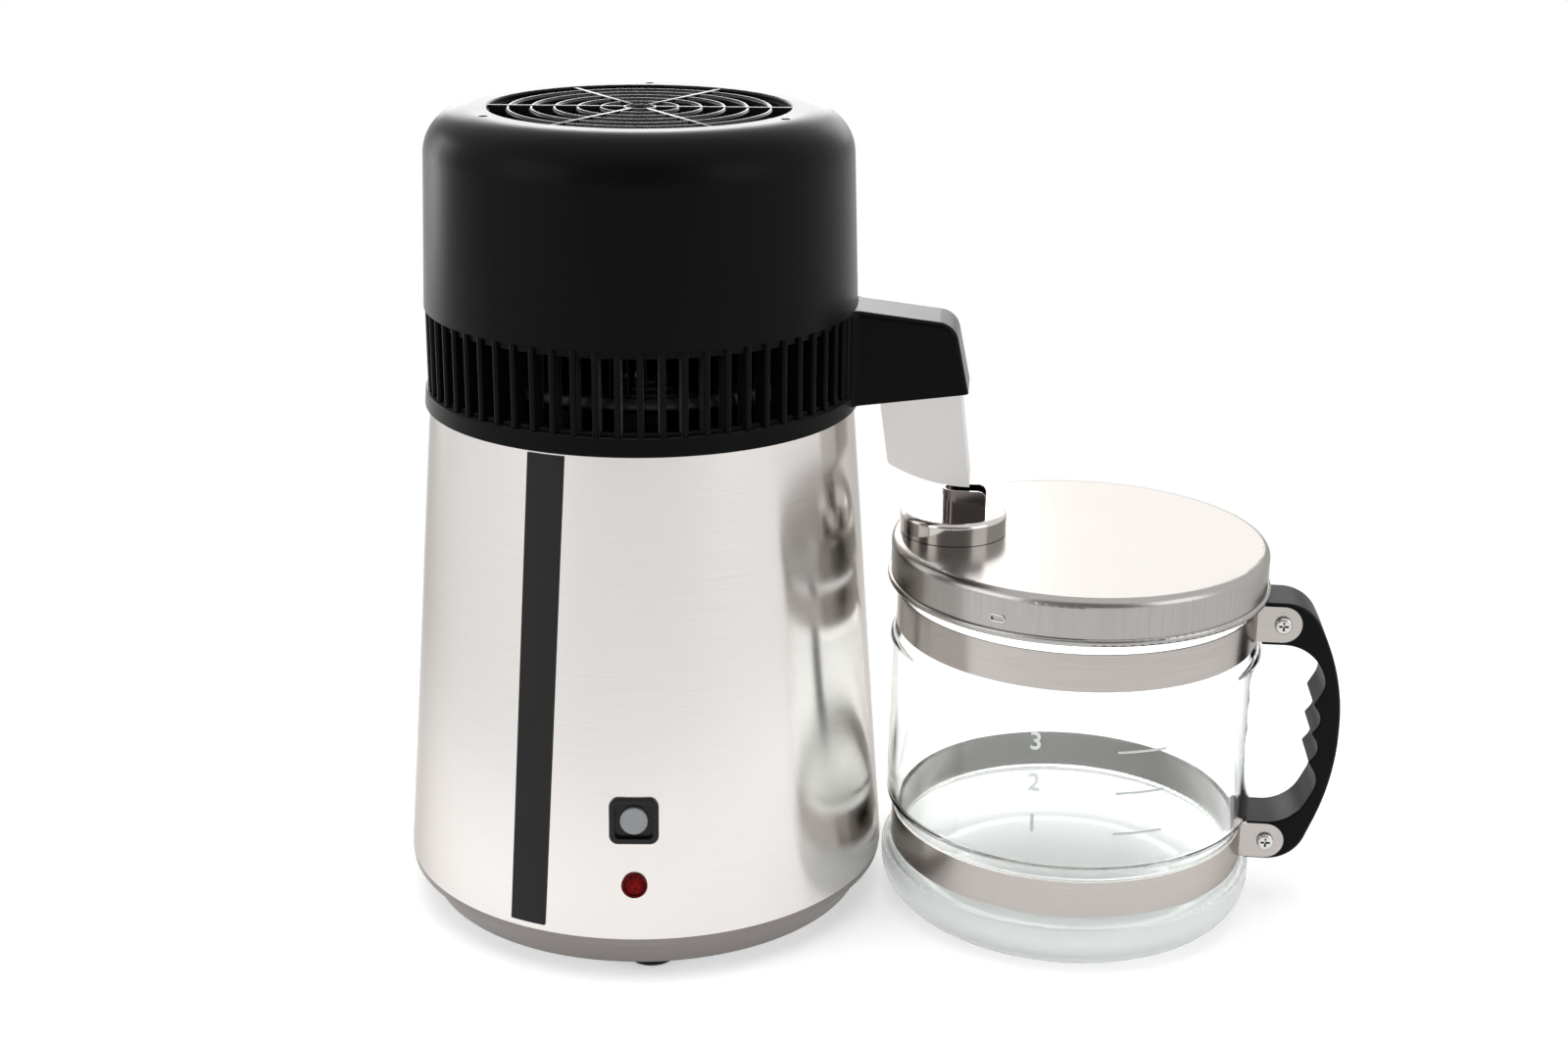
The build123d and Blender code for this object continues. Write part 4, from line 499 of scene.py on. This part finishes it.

# Indicator lens: clear red acrylic, moulded in one and pushed into the casing, with fine
# facets on its back that sparkle a little. Its red is painted in rings round its axis, with a
# dark ring of painted shade on the sunk step, so the rim and the window are lighter than it.
lens_low, lens_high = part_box("indicator_lens")
lens_middle = (lens_low + lens_high) / 2
lens_r = (lens_high.x - lens_low.x) / 2
lens_turn = radians(-84)
lens_way = Vector((cos(lens_turn), sin(lens_turn), 0))
facet_size = 0.0011
facet_depth = 0.0002
window_share = 0.62
step_share = 0.74
rim_share = 0.84
shaded_ring_reds = ((window_share, "#9A0E13"), (step_share, "#2E0204"), (rim_share, "#8E1014"))
red_lens = new_material("red_lens")
tree = red_lens.node_tree
place = add_node(tree, "ShaderNodeTexCoord")
facets = add_node(
    tree, "ShaderNodeTexVoronoi",
    {"Vector": place.outputs["Object"], "Scale": 1 / facet_size},
)
offset = add_node(
    tree, "ShaderNodeVectorMath", {0: place.outputs["Object"], 1: lens_middle}, operation="SUBTRACT",
)
across = add_node(
    tree, "ShaderNodeVectorMath", {0: offset.outputs["Vector"], 1: lens_way}, operation="CROSS_PRODUCT",
)
radius = add_node(tree, "ShaderNodeVectorMath", {0: across.outputs["Vector"]}, operation="LENGTH")
outwards = add_node(
    tree, "ShaderNodeMapRange", {"Value": radius.outputs["Value"], "From Max": lens_r},
)
# Painted shade: the darkest ring stands for the shade on the sunk step between rim and window.
shaded_rings = add_node(tree, "ShaderNodeValToRGB", {"Fac": outwards.outputs["Result"]})
shaded_rings.color_ramp.elements[0].color = linear("#B3141A")
shaded_rings.color_ramp.elements[1].color = linear("#5A0609")
for radius_share, red in shaded_ring_reds:
    shaded_rings.color_ramp.elements.new(radius_share).color = linear(red)
colour = add_node(
    tree, "ShaderNodeMix",
    {"Factor": facets.outputs["Distance"], 6: shaded_rings.outputs["Color"], 7: linear("#3A0305")},
    data_type="RGBA",
)
bump = add_node(
    tree, "ShaderNodeBump",
    {"Height": facets.outputs["Distance"], "Strength": 0.3, "Distance": facet_depth},
)
shader = add_node(
    tree, "ShaderNodeBsdfPrincipled",
    {
        "Base Color": colour.outputs[2],
        "Roughness": 0.15,
        "IOR": 1.49,
        "Specular IOR Level": 0.06,
        "Normal": bump.outputs["Normal"],
    },
)
add_node(tree, "ShaderNodeOutputMaterial", {"Surface": shader.outputs["BSDF"]})
dress(red_lens, "indicator_lens")

# Sockets in the back: black nylon mouldings with a dull finish, set in the casing and in the
# cover. The mains inlet's blades are plain stamped brass.
socket_grain = 0.0007
socket_relief = 0.00003
brass_patch = 0.002
socket_black = moulded_plastic(
    "socket_black", "#131315", "#1E1E20", roughness=0.5, shine=0.4,
    grain_size=socket_grain, grain_depth=socket_relief,
)
pin_brass = plain_metal("pin_brass", "#B79552", "#CFAF6C", roughness=0.25, patch_size=brass_patch)
dress(socket_black, "mains_inlet", "fan_socket", "head_inlet")
dress(pin_brass, "inlet_pins")

# Boiling chamber: a pot deep-drawn from stainless sheet, smoother than the casing, with faint
# drawing marks. Its flange hangs on the casing's upper edge.
drawn_patch = 0.012
drawn_steel = plain_metal(
    "drawn_steel", "#D6D3D0", "#E4E2E0", roughness=0.3, patch_size=drawn_patch,
)
dress(drawn_steel, "boiling_chamber")

# Heating set under the pot: a cast aluminium plate, and an element and thermostats that have
# gone dark with oxide. All of it is dull and mottled.
cast_grain = 0.004
cast_aluminium = plain_metal(
    "cast_aluminium", "#A8A9AB", "#BFC0C1", roughness=0.5, patch_size=cast_grain,
)
oxide_grey = plain_metal("oxide_grey", "#55575A", "#6B6D70", roughness=0.5, patch_size=cast_grain)
dress(cast_aluminium, "heater_plate")
dress(oxide_grey, "heater_element", "thermostats")

# Seals: soft white silicone rings, moulded and left dull. One lies under the steam dome and
# the other under the jug's lid.
silicone_grain = 0.001
silicone_relief = 0.00002
white_silicone = moulded_plastic(
    "white_silicone", "#DAD9D5", "#E9E8E5", roughness=0.6, shine=0.4,
    grain_size=silicone_grain, grain_depth=silicone_relief,
)
dress(white_silicone, "dome_seal", "lid_seal")

# Steam dome and condenser coil: a pressed stainless cover on the pot and one wound stainless
# tube above it, both painted dark brown-grey as the shade deep inside the head.
# Painted shade: the dark brown-grey stands for the shade inside the head.
inner_shade_steel = plain_metal(
    "inner_shade_steel", "#2C2A28", "#3A3735", roughness=0.4, patch_size=drawn_patch,
)
dress(inner_shade_steel, "steam_dome", "condenser_coil")

# Fins and brackets: aluminium sheet coloured near-black as painted shade, so the head stays dark
# inside. The fins stand on the coil, bars carry it from below, and flat arms carry the fan's motor.
inner_shade_patch = 0.005
# Painted shade: the near-black stands for the shade inside the head.
inner_shade_black = plain_metal(
    "inner_shade_black", "#0E0E0F", "#161617", roughness=0.45, patch_size=inner_shade_patch,
)
dress(inner_shade_black, "condenser_fins", "coil_brackets", "motor_bracket")

# Head mouldings: satin black ABS, deep black in front and pale where one looks along it. The
# collar with its arm, the vent ring and the cover stand on each other, and their mould texture
# is very fine.
satin_grain = 0.0006
satin_relief = 0.00003
satin_black = moulded_plastic(
    "satin_black", "#060708", "#0A0B0C", roughness=0.32, shine=0.07,
    grain_size=satin_grain, grain_depth=satin_relief, sheen=0.2,
)
dress(satin_black, "spout_collar", "vent_ring", "head_cover")

# Grille lands: the flat tops of the fan grille's spokes and rings, polished in the mould.
# They stand a little proud of the grille's rounded bars, in the same glossier black, and the
# grille is screwed under the cover's top.
grille_low, grille_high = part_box("fan_grille")
grille_x = (grille_low.x + grille_high.x) / 2
grille_flange = 0.0127
grille_opening_r = (grille_high.x - grille_low.x) / 2 - grille_flange
grille_hub_r = 0.007
grille_ring_count = 5
grille_edge_share = 0.9
grille_pitch = (grille_opening_r - grille_hub_r) / (grille_ring_count + grille_edge_share)
grille_turn = radians(5.5)
land_half_width = 0.0006
land_sink = 0.0002
land_z = grille_high.z - land_sink
land_sides = 8
land_steps = 96
spoke_count = 6
spoke_length = grille_opening_r - grille_hub_r
spoke_middle_r = grille_hub_r + spoke_length / 2
spoke_width = 0.0017
spoke_low = 0.0012
spoke_rise = 0.0005
spoke_middle_z = grille_high.z + (spoke_rise - spoke_low) / 2
spoke_edge = 0.0002
lands = bmesh.new()
for ring in range(grille_ring_count + 1):
    ring_r = grille_hub_r + ring * grille_pitch
    section = bmesh.ops.create_circle(lands, segments=land_sides, radius=land_half_width)["verts"]
    stand = (
        Matrix.Translation((grille_x + ring_r, 0, land_z))
        @ Matrix.Rotation(pi / 2, 4, "X")
        @ Matrix.Rotation(pi / land_sides, 4, "Z")
    )
    bmesh.ops.transform(lands, matrix=stand, verts=section)
    outline = list(dict.fromkeys(edge for vert in section for edge in vert.link_edges))
    bmesh.ops.spin(
        lands, geom=section + outline, cent=(grille_x, 0, 0), axis=(0, 0, 1), angle=2 * pi,
        steps=land_steps, use_merge=True,
    )
for spoke in range(spoke_count):
    bar = bmesh.ops.create_cube(lands, size=1)["verts"]
    lie = (
        Matrix.Translation((grille_x, 0, spoke_middle_z))
        @ Matrix.Rotation(grille_turn + spoke * 2 * pi / spoke_count, 4, "Z")
        @ Matrix.Translation((spoke_middle_r, 0, 0))
        @ Matrix.Diagonal((spoke_length, spoke_width, spoke_rise + spoke_low, 1))
    )
    bmesh.ops.transform(lands, matrix=lie, verts=bar)
    corners = list(dict.fromkeys(edge for vert in bar for edge in vert.link_edges))
    bmesh.ops.bevel(
        lands, geom=corners, offset=spoke_edge, offset_type="OFFSET", segments=2, profile=0.5,
        affect="EDGES", material=-1,
    )
bmesh.ops.recalc_face_normals(lands, faces=lands.faces[:])
grille_black = moulded_plastic(
    "grille_black", "#0C0D0E", "#121314", roughness=0.3, shine=0.5,
    grain_size=satin_grain, grain_depth=satin_relief,
)
dress(grille_black, "fan_grille")
lands_piece = to_piece(lands, "grille_lands", grille_black)
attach(lands_piece, "head")

# Spout nozzle and its filter: smooth stainless sheet bent to a cup, which sits in the arm's
# end, and a soft white cloth pad that lies on the cup's sole.
sheet_patch = 0.02
cloth_fibre = 0.0008
cloth_relief = 0.0003
nozzle_steel = plain_metal(
    "nozzle_steel", "#D1CECC", "#D8D5D3", roughness=0.32, patch_size=sheet_patch,
)
filter_cloth = moulded_plastic(
    "filter_cloth", "#D4D2CC", "#E6E5E0", roughness=0.9, shine=0.3,
    grain_size=cloth_fibre, grain_depth=cloth_relief,
)
dress(nozzle_steel, "spout_nozzle")
dress(filter_cloth, "carbon_filter")

# Fan: black moulded rotor on a bright plated shaft, which turns in a dark lacquered motor. The
# motor hangs from its bracket under the grille.
fan_black = moulded_plastic(
    "fan_black", "#101011", "#171718", roughness=0.45, shine=0.3,
    grain_size=bezel_grain, grain_depth=bezel_relief,
)
motor_lacquer = plain_metal(
    "motor_lacquer", "#222325", "#303133", roughness=0.5, patch_size=cast_grain,
)
dress(fan_black, "fan_rotor")
dress(motor_lacquer, "fan_motor")
dress(bright_plate, "fan_shaft")

# Cover screws: small steel screws with a black oxide finish, sunk in the cover's top. They
# hold the grille's flange and the motor's bracket under it.
screw_oxide = plain_metal(
    "screw_oxide", "#0C0C0D", "#151516", roughness=0.4, patch_size=plating_patch,
)
dress(screw_oxide, "cover_screws")

# Jug glass: thick blown soda-lime glass, clear with a faint green where one looks along the
# wall. Its surface is very slightly wavy from the mould, and its foot is ground to a milky
# white.
ripple_size = 0.04
ripple_depth = 0.0004
ground_top_z = 0.021
clear_z = 0.029
clear_glass = new_material("clear_glass")
tree = clear_glass.node_tree
place = add_node(tree, "ShaderNodeTexCoord")
ripple = add_node(
    tree, "ShaderNodeTexNoise",
    {"Vector": place.outputs["Object"], "Scale": 1 / ripple_size, "Detail": 1.0},
)
bump = add_node(
    tree, "ShaderNodeBump",
    {"Height": ripple.outputs["Fac"], "Strength": 0.25, "Distance": ripple_depth},
)
level = add_node(tree, "ShaderNodeSeparateXYZ", {"Vector": place.outputs["Object"]})
ground = add_node(
    tree, "ShaderNodeMapRange",
    {
        "Value": level.outputs["Z"], "From Min": ground_top_z, "From Max": clear_z,
        "To Min": 0.55, "To Max": 0.0,
    },
)
shader = add_node(
    tree, "ShaderNodeBsdfPrincipled",
    {
        "Base Color": linear("#FCFEFD"),
        "Roughness": ground.outputs["Result"],
        "IOR": 1.5,
        "Transmission Weight": 1.0,
        "Normal": bump.outputs["Normal"],
    },
)
add_node(tree, "ShaderNodeOutputMaterial", {"Surface": shader.outputs["BSDF"]})
dress(clear_glass, "jug_glass")

# Filling marks: plain numerals and level bars moulded in low relief on the outside of the
# jug's wall, in the same glass. They are slightly frosted from the mould, and the frost is
# drawn coarser than the real one, which is too fine to show.
glass_low, glass_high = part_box("jug_glass")
jug_x = (glass_low.x + glass_high.x) / 2
glass_body_r = 0.0866
mark_relief = 0.0006
mark_sink = 0.0002
mark_edge = 0.0002
mark_middle_r = glass_body_r + (mark_relief - mark_sink) / 2
mark_count = 3
first_mark_z = 0.0715
mark_pitch = 0.0198
numeral_size = 0.0115
numeral_turn = radians(-102)
bar_turn = radians(-78)
bar_arc = radians(15)
bar_half_width = 0.0006
bar_steps = 12
bar_sides = 8
marks = bmesh.new()
for mark in range(mark_count):
    mark_z = first_mark_z + mark * mark_pitch
    letter = bpy.data.curves.new("numeral", "FONT")
    letter.body = str(mark + 1)
    letter.size = numeral_size
    letter.align_x = "CENTER"
    letter.extrude = (mark_relief + mark_sink) / 2 - mark_edge
    letter.bevel_depth = mark_edge
    letter.bevel_resolution = 2
    carrier = bpy.data.objects.new("numeral", letter)
    flat = bpy.data.meshes.new_from_object(carrier)
    numeral = bmesh.new()
    numeral.from_mesh(flat)
    for vert in numeral.verts:
        turn = numeral_turn + vert.co.x / glass_body_r
        vert_r = mark_middle_r + vert.co.z
        vert.co = (jug_x + vert_r * cos(turn), vert_r * sin(turn), mark_z + vert.co.y)
    numeral.to_mesh(flat)
    numeral.free()
    marks.from_mesh(flat)
    bpy.data.objects.remove(carrier)
    section = bmesh.ops.create_circle(marks, segments=bar_sides, radius=bar_half_width)["verts"]
    stand = (
        Matrix.Translation((jug_x, 0, mark_z))
        @ Matrix.Rotation(bar_turn, 4, "Z")
        @ Matrix.Rotation(pi / 2, 4, "X")
        @ Matrix.Translation((glass_body_r, 0, 0))
    )
    bmesh.ops.transform(marks, matrix=stand, verts=section)
    first_end = list(dict.fromkeys(edge for vert in section for edge in vert.link_edges))
    ends = bmesh.ops.spin(
        marks, geom=section + first_end, cent=(jug_x, 0, 0), axis=(0, 0, 1), angle=bar_arc,
        steps=bar_steps,
    )["geom_last"]
    last_end = [part for part in ends if isinstance(part, bmesh.types.BMEdge)]
    bmesh.ops.edgeloop_fill(marks, edges=first_end)
    bmesh.ops.edgeloop_fill(marks, edges=last_end)
bmesh.ops.recalc_face_normals(marks, faces=marks.faces[:])
frost_size = 0.0006
mark_glass = new_material("mark_glass")
tree = mark_glass.node_tree
place = add_node(tree, "ShaderNodeTexCoord")
frost = add_node(
    tree, "ShaderNodeTexNoise", {"Vector": place.outputs["Object"], "Scale": 1 / frost_size},
)
dull = add_node(
    tree, "ShaderNodeMapRange", {"Value": frost.outputs["Fac"], "To Min": 0.2, "To Max": 0.5},
)
shader = add_node(
    tree, "ShaderNodeBsdfPrincipled",
    {
        "Base Color": linear("#E9EDEA"),
        "Roughness": dull.outputs["Result"],
        "IOR": 1.5,
        "Transmission Weight": 0.8,
    },
)
add_node(tree, "ShaderNodeOutputMaterial", {"Surface": shader.outputs["BSDF"]})
marks_piece = to_piece(marks, "filling_marks", mark_glass)
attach(marks_piece, "jug")

# Jug bands: thin straps of brushed stainless steel, pulled tight in the glass's grooves by the
# handle's screws. Their ends are bent out flat as ears.
band_steel = brushed_steel(
    "band_steel", "#AFA9A5", "#C2BDB9", roughness=0.22, stroke=round_strokes, stretch=0.5,
)
dress(band_steel, "upper_band", "lower_band")

# Jug handle: one satin black plastic moulding between the two bands' ears. Bright plated
# cross-head screws hold it, with nuts on the far side and painted shade in their recesses.
handle_black = moulded_plastic(
    "handle_black", "#0A0B0C", "#0F1011", roughness=0.42, shine=0.09,
    grain_size=satin_grain, grain_depth=satin_relief,
)
dress(handle_black, "jug_handle")
cross_recess = 0.002
# Painted shade: the screws darken to near-black in their cross recesses.
screw_plate = plain_metal(
    "screw_plate", "#C9C7C4", "#DEDCDA", roughness=0.2, patch_size=plating_patch,
    recess_shade_reach=cross_recess,
)
dress(screw_plate, "handle_screws", "handle_nuts")

# Jug lid: pressed stainless steel, brushed in straight strokes that give its top an even pale
# sheen. Its lugs catch under ridges on the jug's neck.
straight_strokes = (1 / stroke_length, 1 / stroke_width, 1 / stroke_length)
lid_steel = brushed_steel(
    "lid_steel", "#A6A3A0", "#B6B4B2", roughness=0.24, stroke=straight_strokes, stretch=0,
)
dress(lid_steel, "jug_lid")

# Lug rims: the press that dents the lid's lugs inwards leaves a low rounded rim round each
# dent. They are the lid's own steel, rubbed bright, with painted shade in the crease.
lid_wall_r = 0.0872
lug_z = 0.1696
lug_count = 3
first_lug_turn = radians(-115.2)
rim_half_length = 0.00195
rim_outer_r = 0.0018
rim_segments = 24
rim_width = 0.0006
rim_relief = 0.0005
rim_sink = 0.0003
rim_edge = 0.00015
rim_sharp_angle = radians(60)
rims = bmesh.new()
for lug in range(lug_count):
    made = bmesh.ops.create_circle(
        rims, cap_ends=True, segments=rim_segments, radius=rim_outer_r,
    )["verts"]
    for vert in made:
        vert.co.x += rim_half_length if vert.co.x > 0 else -rim_half_length
    dent = made[0].link_faces[0]
    border = bmesh.ops.inset_region(
        rims, faces=[dent], thickness=rim_width, use_boundary=True,
    )["faces"]
    bmesh.ops.delete(rims, geom=[dent], context="FACES_ONLY")
    raised = bmesh.ops.extrude_face_region(rims, geom=border, use_keep_orig=True)["geom"]
    top = [part for part in raised if isinstance(part, bmesh.types.BMVert)]
    bmesh.ops.translate(rims, verts=top, vec=(0, 0, rim_relief + rim_sink))
    body = list({vert for face in border for vert in face.verts} | set(top))
    turn = first_lug_turn + lug * 2 * pi / lug_count
    stand = (
        Matrix.Translation((jug_x, 0, lug_z))
        @ Matrix.Rotation(turn + pi / 2, 4, "Z")
        @ Matrix.Rotation(pi / 2, 4, "X")
        @ Matrix.Translation((0, 0, lid_wall_r - rim_sink))
    )
    bmesh.ops.transform(rims, matrix=stand, verts=body)
bmesh.ops.recalc_face_normals(rims, faces=rims.faces[:])
sharp = [
    edge for edge in rims.edges if edge.is_manifold and edge.calc_face_angle() > rim_sharp_angle
]
bmesh.ops.bevel(
    rims, geom=sharp, offset=rim_edge, offset_type="OFFSET", segments=2, profile=0.5,
    affect="EDGES", material=-1,
)
rubbed_patch = 0.004
rim_crease = 0.0012
# Painted shade: the rims darken to near-black in the crease round each dent.
rubbed_steel = plain_metal(
    "rubbed_steel", "#C9C4C0", "#DDD8D5", roughness=0.14, patch_size=rubbed_patch,
    recess_shade_reach=rim_crease,
)
rims_piece = to_piece(rims, "lug_rims", rubbed_steel)
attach(rims_piece, "jug_lid")

# Lid cap and its finger tab: both are polished stainless steel, almost a mirror. The tab is a
# strip bent over and spot-welded to the cap, and its dark colour is a painted reflection of the
# distiller beside it.
polished_patch = 0.01
polished_steel = plain_metal(
    "polished_steel", "#C9C4C0", "#D3CECB", roughness=0.1, patch_size=polished_patch,
)
# Painted reflection: the tab's darker steel stands for the dark reflection in its polished face.
tab_painted_reflection = plain_metal("tab_painted_reflection", "#6E6765", "#79726F", roughness=0.12, patch_size=polished_patch)
dress(polished_steel, "lid_cap")
dress(tab_painted_reflection, "cap_tab")
